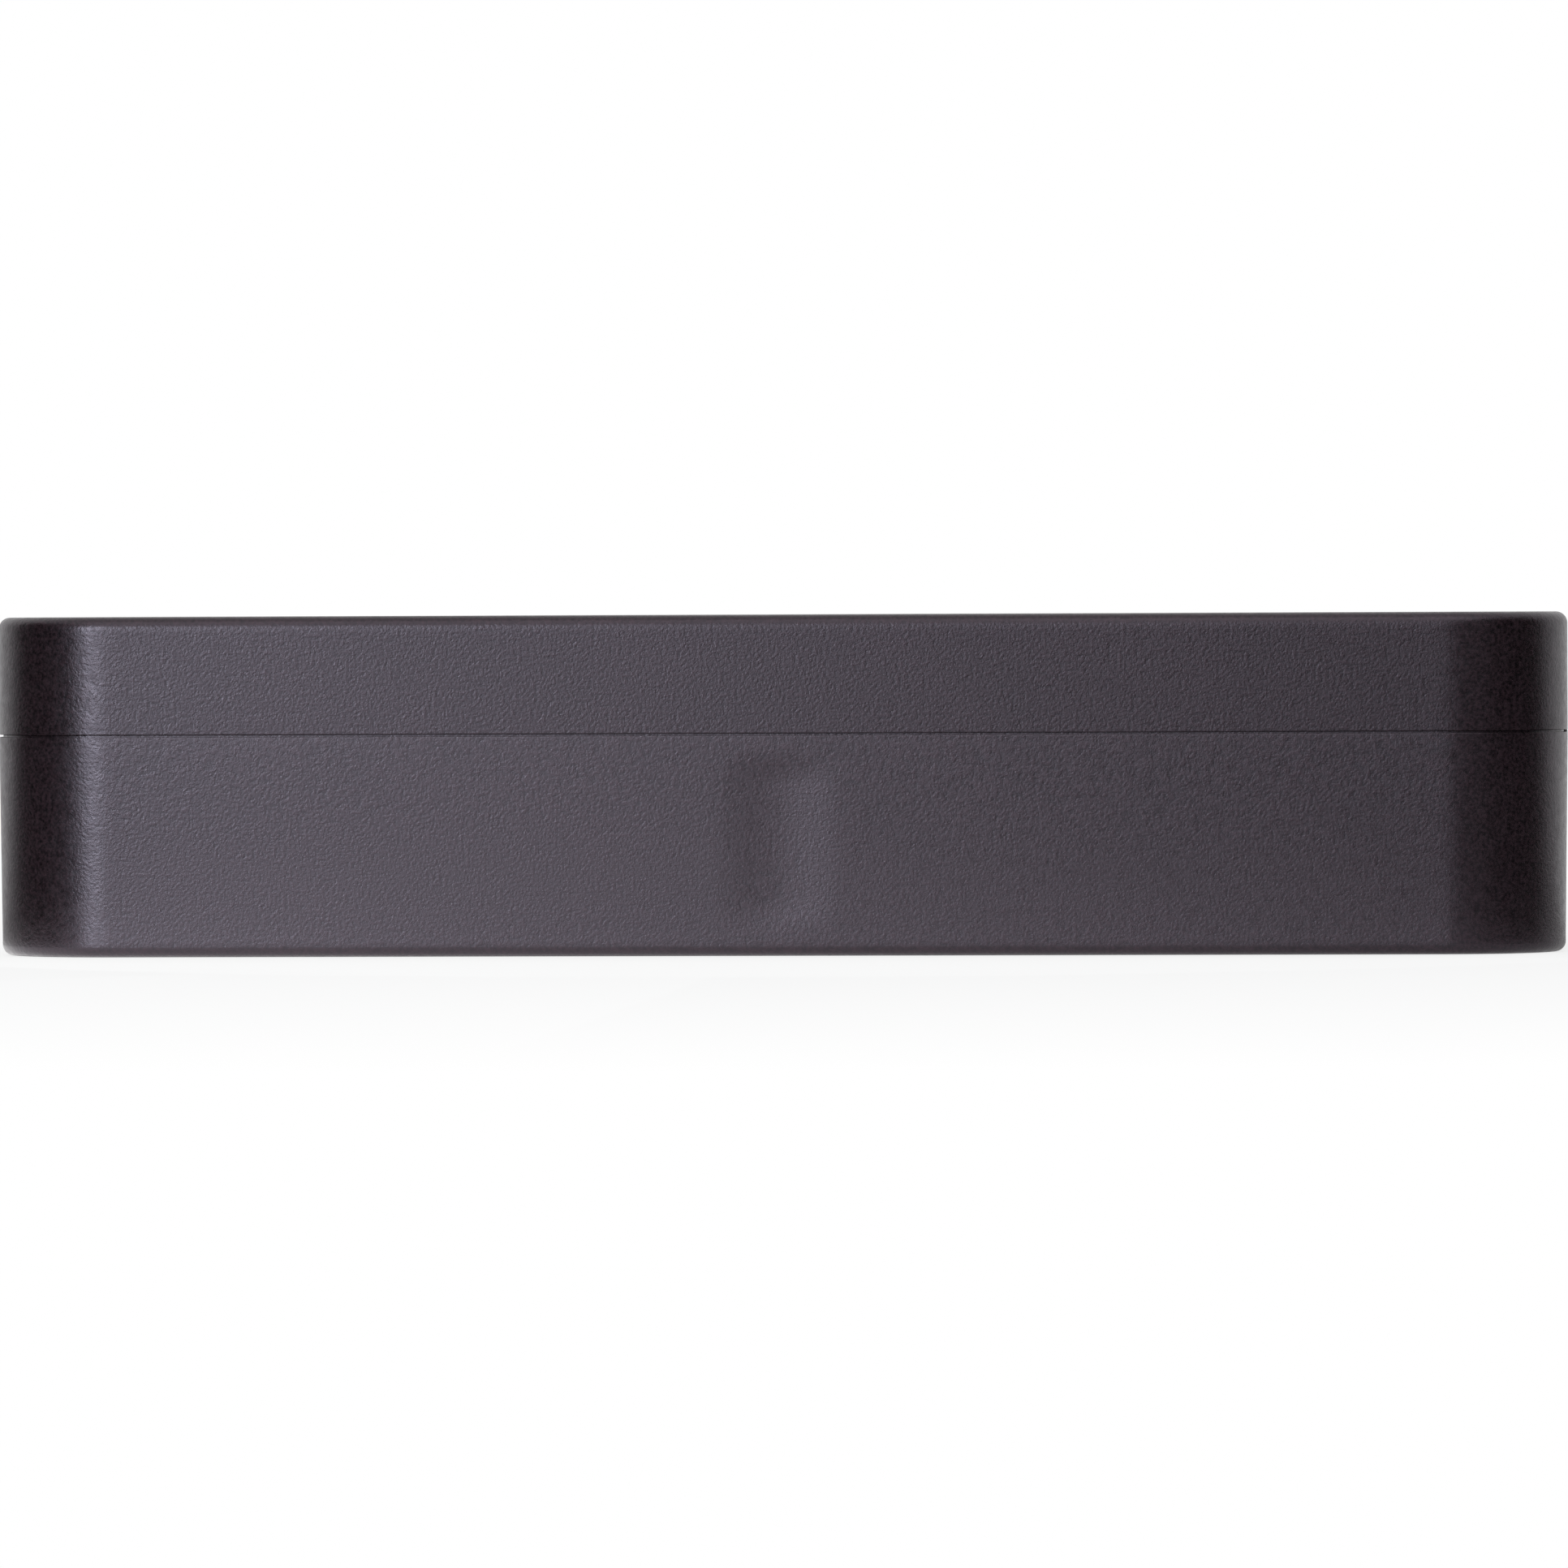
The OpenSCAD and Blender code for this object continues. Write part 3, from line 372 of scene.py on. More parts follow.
# Moulded plastics: tone and its spread, gloss and its haze, the size and depth of their grain. Where
# they differ from the rest: the tint and strength of the shine, and how much painted shade darkens the
# grain's hollows and lightens its tops
plastics = {
    "coverPlastic": {"tone": (0.0105, 0.0055, 0.0070), "rough": 0.34, "spread": 0.10,
                     "grain": 0.42 * mm, "depth": 0.044 * mm, "haze": 0.05,
                     "tint": (0.97, 0.85, 1.0), "shine": 0.43, "pitShade": 0.8},
    "basePlastic": {"tone": (0.0105, 0.0055, 0.0070), "rough": 0.34, "spread": 0.10,
                    "grain": 0.40 * mm, "depth": 0.038 * mm, "haze": 0.05,
                    "tint": (0.97, 0.85, 1.0), "shine": 0.50, "pitShade": 0.8},
    "wellPlastic": {"tone": (0.0120, 0.0095, 0.0115), "rough": 0.33, "spread": 0.12,
                    "grain": 0.55 * mm, "depth": 0.008 * mm, "haze": 0.09},
    "bezelPlastic": {"tone": (0.0060, 0.0058, 0.0062), "rough": 0.24, "spread": 0.10,
                     "grain": 0.9 * mm, "depth": 0.004 * mm, "haze": 0.06},
    "shutterPlastic": {"tone": (0.50, 0.47, 0.40), "rough": 0.45, "spread": 0.04,
                       "grain": 0.4 * mm, "depth": 0.006 * mm, "haze": 0.06},
    "platePlastic": {"tone": (0.22, 0.21, 0.20), "rough": 0.5, "spread": 0.06,
                     "grain": 0.4 * mm, "depth": 0.008 * mm, "haze": 0.05},
    "naturalPlastic": {"tone": (0.62, 0.59, 0.50), "rough": 0.42, "spread": 0.05,
                       "grain": 0.6 * mm, "depth": 0.006 * mm, "haze": 0.07},
    "plungerPlastic": {"tone": (0.78, 0.76, 0.70), "rough": 0.3, "spread": 0.03,
                       "grain": 0.5 * mm, "depth": 0.003 * mm, "haze": 0.05},
    "brownInsulation": {"tone": (0.075, 0.030, 0.012), "rough": 0.38, "spread": 0.10,
                        "grain": 0.8 * mm, "depth": 0.006 * mm, "haze": 0.06},
    "blueInsulation": {"tone": (0.012, 0.060, 0.26), "rough": 0.38, "spread": 0.08,
                       "grain": 0.8 * mm, "depth": 0.006 * mm, "haze": 0.06},
    "glandRubber": {"tone": (0.0080, 0.0078, 0.0082), "rough": 0.62, "spread": 0.18,
                    "grain": 0.25 * mm, "depth": 0.012 * mm, "haze": 0.08},
}
plasticRest = {"tint": (1, 1, 1), "shine": 0.5, "pitShade": 0.1, "cloud": 14 * mm}


def plastic(name):
    look = {**plasticRest, **plastics[name]}
    material, tree, shader = newMaterial(name, look["tone"], look["rough"], tint=look["tint"])
    shader.inputs["Specular IOR Level"].default_value = look["shine"]
    place = surfacePlace(tree)
    cloudy = noise(tree, place, look["cloud"], 3)
    darker, lighter = shades(look["tone"], look["spread"])
    grain = noise(tree, place, look["grain"], 2.5, 0.6)
    # Painted shade in the grain's hollows and painted light on its tops: the base colour is scaled down
    # where the grain's bump is low and up where it is high
    shadeInPits = tree.nodes.new("ShaderNodeVectorMath")
    shadeInPits.operation = "SCALE"
    tree.links.new(tones(tree, cloudy, [(0.35, darker), (0.65, lighter)]), shadeInPits.inputs[0])
    pitShade = between(tree, grain, 1 - look["pitShade"], 1 + look["pitShade"], 0.35, 0.65)
    tree.links.new(pitShade, shadeInPits.inputs["Scale"])
    tree.links.new(shadeInPits.outputs["Vector"], shader.inputs["Base Color"])
    haze = noise(tree, place, 3 * look["grain"], 2)
    gloss = between(tree, haze, look["rough"] - look["haze"], look["rough"] + look["haze"], 0.3, 0.7)
    tree.links.new(gloss, shader.inputs["Roughness"])
    tree.links.new(relief(tree, grain, look["depth"]), shader.inputs["Normal"])
    return material


# Metals: colour, tarnish colour, and the direction of their fine drawing lines
metals = {
    "clipNickel": {"tone": (0.66, 0.63, 0.57), "dull": (0.50, 0.46, 0.39), "rough": 0.26,
                   "stretch": (1, 1, 0.06)},
    "barBrass": {"tone": (0.76, 0.55, 0.25), "dull": (0.52, 0.34, 0.14), "rough": 0.32,
                 "stretch": (0.05, 1, 1)},
    "bridgeCopper": {"tone": (0.78, 0.46, 0.29), "dull": (0.50, 0.26, 0.15), "rough": 0.28,
                     "stretch": (0.06, 1, 1)},
    "terminalTin": {"tone": (0.70, 0.66, 0.56), "dull": (0.52, 0.47, 0.37), "rough": 0.34,
                    "stretch": (1, 1, 0.08)},
    "screwZinc": {"tone": (0.60, 0.60, 0.62), "dull": (0.42, 0.42, 0.44), "rough": 0.34,
                  "stretch": (1, 1, 1)},
    "springSteel": {"tone": (0.56, 0.56, 0.58), "dull": (0.38, 0.37, 0.37), "rough": 0.25,
                    "stretch": (1, 1, 1)},
}
metalWear = {"stain": 2.2 * mm, "lines": 0.09 * mm, "lineDepth": 0.003 * mm, "dulled": 0.12,
             "rubbed": 0.04}


def metal(name):
    look, wear = metals[name], metalWear
    material, tree, shader = newMaterial(name, look["tone"], look["rough"], 1.0)
    plain = surfacePlace(tree)
    drawn = surfacePlace(tree, look["stretch"])
    stain = noise(tree, plain, wear["stain"], 4, 0.6, 0.4)
    lines = noise(tree, drawn, wear["lines"], 2, 0.6)
    clouded(tree, shader, stain, (0.42, look["dull"]), (0.60, look["tone"]))
    gloss = between(tree, stain, look["rough"] + wear["dulled"], look["rough"] - wear["rubbed"], 0.35, 0.65)
    tree.links.new(gloss, shader.inputs["Roughness"])
    tree.links.new(relief(tree, lines, wear["lineDepth"]), shader.inputs["Normal"])
    return material


rockerLook = {"tone": (0.42, 0.006, 0.006), "spread": 0.12, "cloud": 5 * mm, "rough": 0.16,
              "scuff": 0.4 * mm, "scuffStretch": (1, 0.15, 1), "rubbed": 0.05, "scuffed": 0.10,
              "ripple": 1.6 * mm, "rippleDepth": 0.006 * mm, "clearness": 0.25, "density": 1.49}


def rockerRed():
    look = rockerLook
    material, tree, shader = newMaterial("rockerRed", look["tone"], look["rough"])
    place = surfacePlace(tree)
    darker, lighter = shades(look["tone"], look["spread"])
    clouded(tree, shader, noise(tree, place, look["cloud"], 2), (0.3, darker), (0.7, lighter))
    scuffs = noise(tree, surfacePlace(tree, look["scuffStretch"]), look["scuff"], 4, 0.7)
    gloss = between(tree, scuffs, look["rough"] - look["rubbed"], look["rough"] + look["scuffed"],
                    0.3, 0.75)
    tree.links.new(gloss, shader.inputs["Roughness"])
    shader.inputs["Transmission Weight"].default_value = look["clearness"]
    shader.inputs["IOR"].default_value = look["density"]
    rippled(tree, shader, place, look["ripple"], 1, look["rippleDepth"])
    return material


markLook = {"tone": (0.80, 0.79, 0.76), "spread": 0.05, "cloud": 0.5 * mm, "rough": 0.5,
            "ripple": 0.12 * mm, "rippleDepth": 0.004 * mm}


def markPaint():
    look = markLook
    material, tree, shader = newMaterial("markPaint", look["tone"], look["rough"])
    place = surfacePlace(tree)
    darker, lighter = shades(look["tone"], look["spread"])
    clouded(tree, shader, noise(tree, place, look["cloud"], 3), (0.3, darker), (0.7, lighter))
    rippled(tree, shader, place, look["ripple"], 2, look["rippleDepth"])
    return material


glassLook = {"tone": (0.95, 0.72, 0.55), "warm": (0.95, 0.66, 0.48), "pale": (0.96, 0.80, 0.68),
             "cloud": 2.5 * mm, "rough": 0.06, "ripple": 1.2 * mm, "rippleDepth": 0.01 * mm,
             "clearness": 0.85, "density": 1.47}


def lampGlass():
    look = glassLook
    material, tree, shader = newMaterial("lampGlass", look["tone"], look["rough"])
    place = surfacePlace(tree)
    shader.inputs["Transmission Weight"].default_value = look["clearness"]
    shader.inputs["IOR"].default_value = look["density"]
    clouded(tree, shader, noise(tree, place, look["cloud"], 2), (0.3, look["warm"]), (0.7, look["pale"]))
    rippled(tree, shader, place, look["ripple"], 1, look["rippleDepth"])
    return material


# Colour rings: where each starts along the body, which is 0 to 1 long, and its tone
lacquerLook = {"tone": (0.62, 0.52, 0.34), "rough": 0.35, "ripple": 0.5 * mm, "rippleDepth": 0.01 * mm,
               "ringWidth": 0.05, "rings": [(0.30, (0.30, 0.02, 0.01)), (0.44, (0.25, 0.12, 0.02)),
                                            (0.58, (0.02, 0.02, 0.02)), (0.72, (0.55, 0.38, 0.10))]}


def resistorLacquer():
    look = lacquerLook
    material, tree, shader = newMaterial("resistorLacquer", look["tone"], look["rough"])
    low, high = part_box("lamp_resistor")
    where = tree.nodes.new("ShaderNodeTexCoord")
    split = tree.nodes.new("ShaderNodeSeparateXYZ")
    tree.links.new(where.outputs["Object"], split.inputs["Vector"])
    along = between(tree, split.outputs["X"], 0, 1, low.x, high.x)
    stops = [(0.0, look["tone"])]
    for start, ringTone in look["rings"]:
        stops += [(start, ringTone), (start + look["ringWidth"], look["tone"])]
    colour = tones(tree, along, stops)
    colour.node.color_ramp.interpolation = "CONSTANT"
    tree.links.new(colour, shader.inputs["Base Color"])
    rippled(tree, shader, surfacePlace(tree), look["ripple"], 2, look["rippleDepth"])
    return material


finishes = {name: plastic(name) for name in plastics}
finishes.update({name: metal(name) for name in metals})
finishes.update(rockerRed=rockerRed(), markPaint=markPaint(), lampGlass=lampGlass(),
                resistorLacquer=resistorLacquer())
print("finishes:", len(finishes))


# Top cover: one shell with a pocket that the switch hangs in
coverShape = {
    "topEdge": (1.4 * mm, 8),
    "firstRow": 0.7 * mm,
    "land": 0.3 * mm,
    "lipWidth": 1.0 * mm,
    "lipHeight": 1.7 * mm,
    "holeRadius": 21.0 * mm,
    "holeSteps": 112,
    "holeEdge": (0.4 * mm, 4),
    "bossRadius": 3.6 * mm,
    "bossSteps": 32,
    "pilotRadius": 1.55 * mm,
    "pilotDepth": 11 * mm,
    "pocketSize": (39 * mm, 32 * mm),
    "pocketRadius": 6 * mm,
    "pocketSteps": 12,
    "pocketSupport": 0.5 * mm,
    "pocketEdge": (0.8 * mm, 5),
    "pocketFoot": (0.4 * mm, 3),
    "pocketDepth": 5.2 * mm,
    "pocketPlate": 1.8 * mm,
    "switchGap": 0.1 * mm,
    "switchHoleEdge": (0.15 * mm, 2),
}


def openForWell(bm, centre, topEdges, ceilingEdges, rounded):
    shape = coverShape
    margin = shape["holeEdge"][0] + shape["land"]
    outer, hub = ring(bm, shape["holeRadius"] + margin, centre, cadHigh.z, shape["holeSteps"])
    mouth = step(bm, outer, hub, inset=margin)
    topEdges += outer
    ceilingEdges += step(bm, mouth, hub, rise=-housing["plate"])
    rounded.append((mouth, *shape["holeEdge"]))


def sinkPocket(bm, topEdges, ceilingEdges, rounded):
    # A shelf below the top with a square hole for the switch housing
    shape = coverShape
    margin = shape["pocketEdge"][0] + shape["land"]
    size = [length + 2 * margin for length in shape["pocketSize"]]
    outer, hub = outline(bm, size, shape["pocketRadius"] + margin, switchPivot.xy, cadHigh.z,
                         shape["pocketSteps"], shape["pocketSupport"])
    mouth = step(bm, outer, hub, inset=margin)
    foot = step(bm, mouth, hub, rise=-shape["pocketDepth"])
    lap = (shape["pocketSize"][0] - switchShape["size"][0]) / 2 - shape["switchGap"]
    hole = step(bm, foot, hub, inset=lap)
    run = step(bm, hole, hub, rise=-shape["pocketPlate"])
    run = step(bm, run, hub, inset=-lap - shape["pocketPlate"])
    run = step(bm, run, hub, rise=shape["pocketDepth"] + shape["pocketPlate"] - housing["plate"])
    topEdges += outer
    ceilingEdges += run
    rounded += [(mouth, *shape["pocketEdge"]), (foot, *shape["pocketFoot"]),
                (hole, *shape["switchHoleEdge"])]


def hangBoss(bm, place, ceilingEdges):
    # A post under the ceiling with the pilot hole of one housing screw
    shape, ceiling = coverShape, cadHigh.z - housing["plate"]
    boss, hub = ring(bm, shape["bossRadius"], place, ceiling, shape["bossSteps"])
    end = step(bm, boss, hub, rise=housing["bossTop"] - ceiling)
    pilot = step(bm, end, hub, inset=shape["bossRadius"] - shape["pilotRadius"])
    cap(bm, step(bm, pilot, hub, rise=shape["pilotDepth"]))
    ceilingEdges += boss


def makeCover():
    shape, bm = coverShape, bmesh.new()
    top, ceiling = cadHigh.z, cadHigh.z - housing["plate"]
    seam = housing["seamHeight"] + housing["seamGap"] / 2
    lip = seam + shape["lipHeight"]
    margin = shape["topEdge"][0] + housing["edgeLand"]
    inside, core = innerOutline(bm, ceiling)
    run = step(bm, inside, core, rise=lip - ceiling)
    run = step(bm, run, core, inset=shape["lipWidth"] - housing["wall"])
    run = step(bm, run, core, rise=seam - lip)
    seamEdge = step(bm, run, core, inset=-shape["lipWidth"])
    run = step(bm, seamEdge, core, rise=housing["seamLand"])
    run = step(bm, run, core, rise=shape["firstRow"] - housing["seamLand"])
    run = step(bm, run, core, rise=top - seam - shape["firstRow"] - margin)
    topEdge = step(bm, run, core, rise=margin)
    topRim = step(bm, topEdge, core, inset=margin)
    topEdges, ceilingEdges = list(topRim), list(inside)
    rounded = [(topEdge, *shape["topEdge"]), (seamEdge, *housing["seamEdge"])]
    for centre in wellPlaces:
        openForWell(bm, centre, topEdges, ceilingEdges, rounded)
    sinkPocket(bm, topEdges, ceilingEdges, rounded)
    for place in screwPlaces():
        hangBoss(bm, place, ceilingEdges)
    closeAndRound(bm, (topEdges, ceilingEdges), rounded)
    cover = newPiece("coverShell", bm, finishes["coverPlastic"], "strip", ["top_cover"])
    shadeSmooth(cover)


# Base shell: a deep tray, open at the top, with a tongue inside the cover's lip
baseShape = {
    "bottomEdge": (1.3 * mm, 8),
    "lean": 0.3 * mm,
    "firstRow": 0.6 * mm,
    "lastRow": 2 * mm,
    "rows": 18,
    "land": 0.2 * mm,
    "tongueGap": 0.1 * mm,
    "tongueHeight": 1.5 * mm,
    "tongueEdge": (0.3 * mm, 2),
    "shoulderRise": 0.22 * mm,
    "shadowLine": 0.5 * mm,
    "bossRadius": 3.7 * mm,
    "boreSteps": 40,
    "counterboreRadius": 3.2 * mm,
    "counterboreDepth": 20.5 * mm,
    "counterboreEdge": (0.25 * mm, 3),
    "screwPassage": 1.7 * mm,
    "clampReach": 8.5 * mm,
    "clampPost": 3.2 * mm,
    "clampPilot": (1.55 * mm, 6.3 * mm),  # radius, depth
    "pilotSteps": 32,
    "cordBed": (5 * mm, 3 * mm, 1.2 * mm),  # half its width, thickness, height into the channel
    "biteRadius": 3.7 * mm,
    "glandPad": (9.1 * mm, 1.4 * mm),  # radius, height off the wall
    "web": 2.4 * mm,
    "webStart": 3 * mm,
    "webDrop": 0.3 * mm,
    "panelSize": (90 * mm, 30 * mm),
    "panelRadius": 2 * mm,
    "panelSteps": 6,
    "panelMargin": 0.3 * mm,
    "panelEdge": (0.12 * mm, 2),
    "panelDepth": 0.3 * mm,
}

# Keyholes in the underside: a round entry, a slot for a wall screw's neck and room for its head
keyholeShape = {
    "x": 89.5 * mm,
    "radius": 4.25 * mm,
    "slot": 4.4 * mm,
    "slotSteps": 12,
    "run": 6.5 * mm,
    "flare": 0.3 * mm,
    "play": 0.2 * mm,
    "room": 4.3 * mm,
    "roomCorner": (0.6 * mm, 3),
    "skin": 1.2 * mm,
    "skinCorner": (0.8 * mm, 3),
}

# The soft hollow that a rib behind the front wall leaves, and the spacing of the points that carry it
sinkMark = {
    "width": 8 * mm,
    "shift": 2.1 * mm,
    "depth": 0.16 * mm,
    "from": 3.6 * mm,
    "to": 24.6 * mm,
    "fade": 2.2 * mm,
    "reach": 1.2 * mm,
    "spacing": 0.8 * mm,
    "columns": (-9, 15),  # first and one past the last, counted from between the wells
}


def smoothStep(value):
    value = min(max(value, 0.0), 1.0)
    return value * value * (3 - 2 * value)


def addSinkMark(bm, wallFace, centre):
    look = sinkMark
    for point in bm.verts:
        if point.co.y > wallFace + look["reach"]:
            continue
        across = cos(min(abs(point.co.x - centre) / look["width"], 1) * pi) / 2 + 0.5
        up = smoothStep((point.co.z - look["from"]) / look["fade"])
        down = smoothStep((look["to"] - point.co.z) / look["fade"])
        point.co.y += look["depth"] * across * up * down


def boreForScrew(bm, place, bottomEdges, floorEdges, rounded):
    # The counterbore from below, the screw's passage and the boss round both
    shape = baseShape
    margin = shape["counterboreEdge"][0] + shape["land"]
    outer, hub = ring(bm, shape["counterboreRadius"] + margin, place, 0, shape["boreSteps"])
    mouth = step(bm, outer, hub, inset=margin)
    seat = step(bm, mouth, hub, rise=shape["counterboreDepth"])
    run = step(bm, seat, hub, inset=shape["counterboreRadius"] - shape["screwPassage"])
    run = step(bm, run, hub, rise=housing["bossTop"] - shape["counterboreDepth"])
    run = step(bm, run, hub, inset=shape["screwPassage"] - shape["bossRadius"])
    floorEdges += step(bm, run, hub, rise=housing["plate"] - housing["bossTop"])
    bottomEdges += outer
    rounded.append((mouth, *shape["counterboreEdge"]))


def sinkPanel(bm, bottomEdges, rounded):
    # The plain field in the middle of the underside
    shape, margin = baseShape, baseShape["panelMargin"]
    size = [length + 2 * margin for length in shape["panelSize"]]
    outer, hub = outline(bm, size, shape["panelRadius"] + margin, steps=shape["panelSteps"])
    mouth = step(bm, outer, hub, inset=margin)
    cap(bm, step(bm, mouth, hub, rise=shape["panelDepth"]))
    bottomEdges += outer
    rounded.append((mouth, *shape["panelEdge"]))


def coverKeyhole(bm, side, floorEdges):
    # The raised skin inside the tray that closes a keyhole's room
    shape, (corner, steps) = keyholeShape, keyholeShape["skinCorner"]
    wide = 2 * (shape["radius"] + shape["play"] + shape["skin"])
    foot, hub = outline(bm, (wide, shape["run"] + wide), corner, (side * shape["x"], shape["run"] / 2),
                        housing["plate"], steps)
    cap(bm, step(bm, foot, hub, rise=shape["room"] + shape["skin"]))
    floorEdges += foot


def flaredCut(bm, edges, core, top):
    # A cutter that opens out a little where it leaves the underside
    flare = keyholeShape["flare"]
    cap(bm, step(bm, edges, core, inset=-past - flare, rise=-flare - past))
    cap(bm, step(bm, edges, core, rise=top))


def keyholeTools(side):
    shape = keyholeShape
    entry, slot, room = bmesh.new(), bmesh.new(), bmesh.new()
    x, run, width = side * shape["x"], shape["run"], shape["slot"]
    through = housing["plate"] + sunk
    edges, core = ring(entry, shape["radius"], (x, 0), shape["flare"])
    flaredCut(entry, edges, core, through)
    edges, core = outline(slot, (width, run + width), width / 2 - near, (x, run / 2), shape["flare"],
                          shape["slotSteps"])
    flaredCut(slot, edges, core, through)
    wide = 2 * (shape["radius"] + shape["play"])
    corner, steps = shape["roomCorner"]
    edges, core = outline(room, (wide, run + wide), corner, (x, run / 2), housing["plate"], steps)
    cap(room, edges)
    cap(room, step(room, edges, core, rise=shape["room"]))
    return entry, slot, room


def clampPlaces():
    clamp = middleOf("cord_clamp")
    return [(clamp.x + side * baseShape["clampReach"], clamp.y) for side in (-1, 1)]


def innerParts():
    # What stands inside the base: clamp posts, cord bed, pad round the gland, webs to the middle bosses
    shape, bm = baseShape, bmesh.new()
    clamp, cord = middleOf("cord_clamp"), middleOf("cord_gland")
    foot = housing["plate"] / 2
    for x, y in clampPlaces():
        rod(bm, shape["clampPost"], (x, y, foot), (x, y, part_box("cord_clamp")[0].z))
    half, thick, dip = shape["cordBed"]
    block(bm, (clamp.x - half, clamp.y - thick / 2, foot),
          (clamp.x + half, clamp.y + thick / 2, cord.z - shape["biteRadius"] + dip))
    radius, proud = shape["glandPad"]
    wallFace = cadHigh.y - housing["wall"]
    rod(bm, radius, (cord.x, wallFace - proud, cord.z), (cord.x, wallFace + 2 * sunk, cord.z),
        glandShape["steps"])
    for x, y in screwPlaces()[-2:]:
        side = y / abs(y)
        front, back = sorted((y + side * shape["webStart"], side * (wallFace + sunk)))
        block(bm, (x - shape["web"] / 2, front, foot),
              (x + shape["web"] / 2, back, housing["bossTop"] - shape["webDrop"]))
    return bm


def innerHoles():
    # The gland's seat in two steps, the clamp screws' pilots and the channel that the cord lies in
    shape, seat = baseShape, glandShape
    wide, narrow = bmesh.new(), bmesh.new()
    low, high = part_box("cord_gland")
    cord, clamp = (low + high) / 2, middleOf("cord_clamp")
    for bm, radius, depth in ((wide, seat["flangeRadius"], seat["flange"]),
                              (narrow, seat["neckRadius"], seat["seatDepth"])):
        rod(bm, radius + seat["play"], (cord.x, high.y - depth, cord.z),
            (cord.x, high.y + 2 * past, cord.z), seat["steps"])
    radius, deep = shape["clampPilot"]
    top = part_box("cord_clamp")[0].z
    for x, y in clampPlaces():
        rod(wide, radius, (x, y, top - deep), (x, y, top + past), shape["pilotSteps"])
    half = shape["cordBed"][1] / 2 + sunk
    rod(wide, shape["biteRadius"], (clamp.x, clamp.y - half, cord.z), (clamp.x, clamp.y + half, cord.z))
    return wide, narrow


def makeBase():
    shape, bm = baseShape, bmesh.new()
    floor = housing["plate"]
    seam = housing["seamHeight"] - housing["seamGap"] / 2
    tongue = seam + shape["tongueHeight"]
    lip = coverShape["lipWidth"] + shape["tongueGap"]
    cuts = [betweenWells + number * sinkMark["spacing"] for number in range(*sinkMark["columns"])]
    inside, core = innerOutline(bm, floor, cuts)
    tongueIn = step(bm, inside, core, rise=tongue - floor)
    tongueOut = step(bm, tongueIn, core, inset=lip - housing["wall"])
    run = step(bm, tongueOut, core, rise=seam + shape["shoulderRise"] - tongue)
    run = step(bm, run, core, inset=shape["shadowLine"] - lip)
    run = step(bm, run, core, rise=-shape["shoulderRise"])
    seamEdge = step(bm, run, core, inset=-shape["shadowLine"])
    run = step(bm, seamEdge, core, rise=-housing["seamLand"])
    run = step(bm, run, core, rise=housing["seamLand"] - shape["firstRow"])
    height = seam - shape["firstRow"] - shape["lastRow"]
    for row in range(shape["rows"]):
        run = step(bm, run, core, inset=shape["lean"] / shape["rows"], rise=-height / shape["rows"])
    bottomEdge = step(bm, run, core, rise=-shape["lastRow"])
    bottomRim = step(bm, bottomEdge, core, inset=shape["bottomEdge"][0] + housing["edgeLand"])
    bottomEdges, floorEdges = list(bottomRim), list(inside)
    rounded = [(bottomEdge, *shape["bottomEdge"]), (seamEdge, *housing["seamEdge"]),
               (tongueIn, *shape["tongueEdge"]), (tongueOut, *shape["tongueEdge"])]
    for place in screwPlaces():
        boreForScrew(bm, place, bottomEdges, floorEdges, rounded)
    sinkPanel(bm, bottomEdges, rounded)
    for side in (-1, 1):
        coverKeyhole(bm, side, floorEdges)
    closeAndRound(bm, (bottomEdges, floorEdges), rounded)
    addSinkMark(bm, cadLow.y, betweenWells + sinkMark["shift"])
    base = newPiece("baseShell", bm, finishes["basePlastic"], "strip", ["base_shell"])
    for side in (-1, 1):
        for tool in keyholeTools(side):
            carve(base, tool)
    carve(base, innerParts(), "UNION")
    for tool in innerHoles():
        carve(base, tool)
    shadeSmooth(base)


# Outlets: a turned well, a floor disc below it, the earth clip and the shutter's spring
wellShape = {
    "steps": 120,
    "boreRadius": 19.5 * mm,
    "mouthRadius": 19.8 * mm,
    "mouthDepth": 3 * mm,
    "mouthTaper": 0.3 * mm,
    "mouthEdge": (0.45 * mm, 5),
    "rimRadius": 20.9 * mm,
    "rimEdge": (0.25 * mm, 3),
    "bodyRadius": 21.6 * mm,
    "turn": 45,  # degrees from the strip's length to the line through the pins
    "ribWidth": 4.6 * mm,
    "ribFace": 18.0 * mm,
    "ribFoot": 20.5 * mm,
    "ribEdge": (0.5 * mm, 3),
    "slotWidth": 5.2 * mm,
    "slotReach": 24 * mm,
    "notchFace": 19.2 * mm,
    "pinRadius": 2.75 * mm,
    "pinOffset": 9.5 * mm,
    "pinEdge": (0.45 * mm, 4),
    "pinLand": 0.2 * mm,
    "sharpAngle": 28,
}


def turnedBox(bm, low, high, degrees, centre, edge=None):
    # A block between two corners, its upper edges rounded, turned about an outlet's axis
    points = block(bm, low, high)
    if edge:
        lines = {line for point in points for line in point.link_edges}
        upper = [line for line in lines if max(point.co.z for point in line.verts) > low[2] + near]
        roundOff(bm, upper, *edge)
    turnAndPlace(bm, degrees, centre)


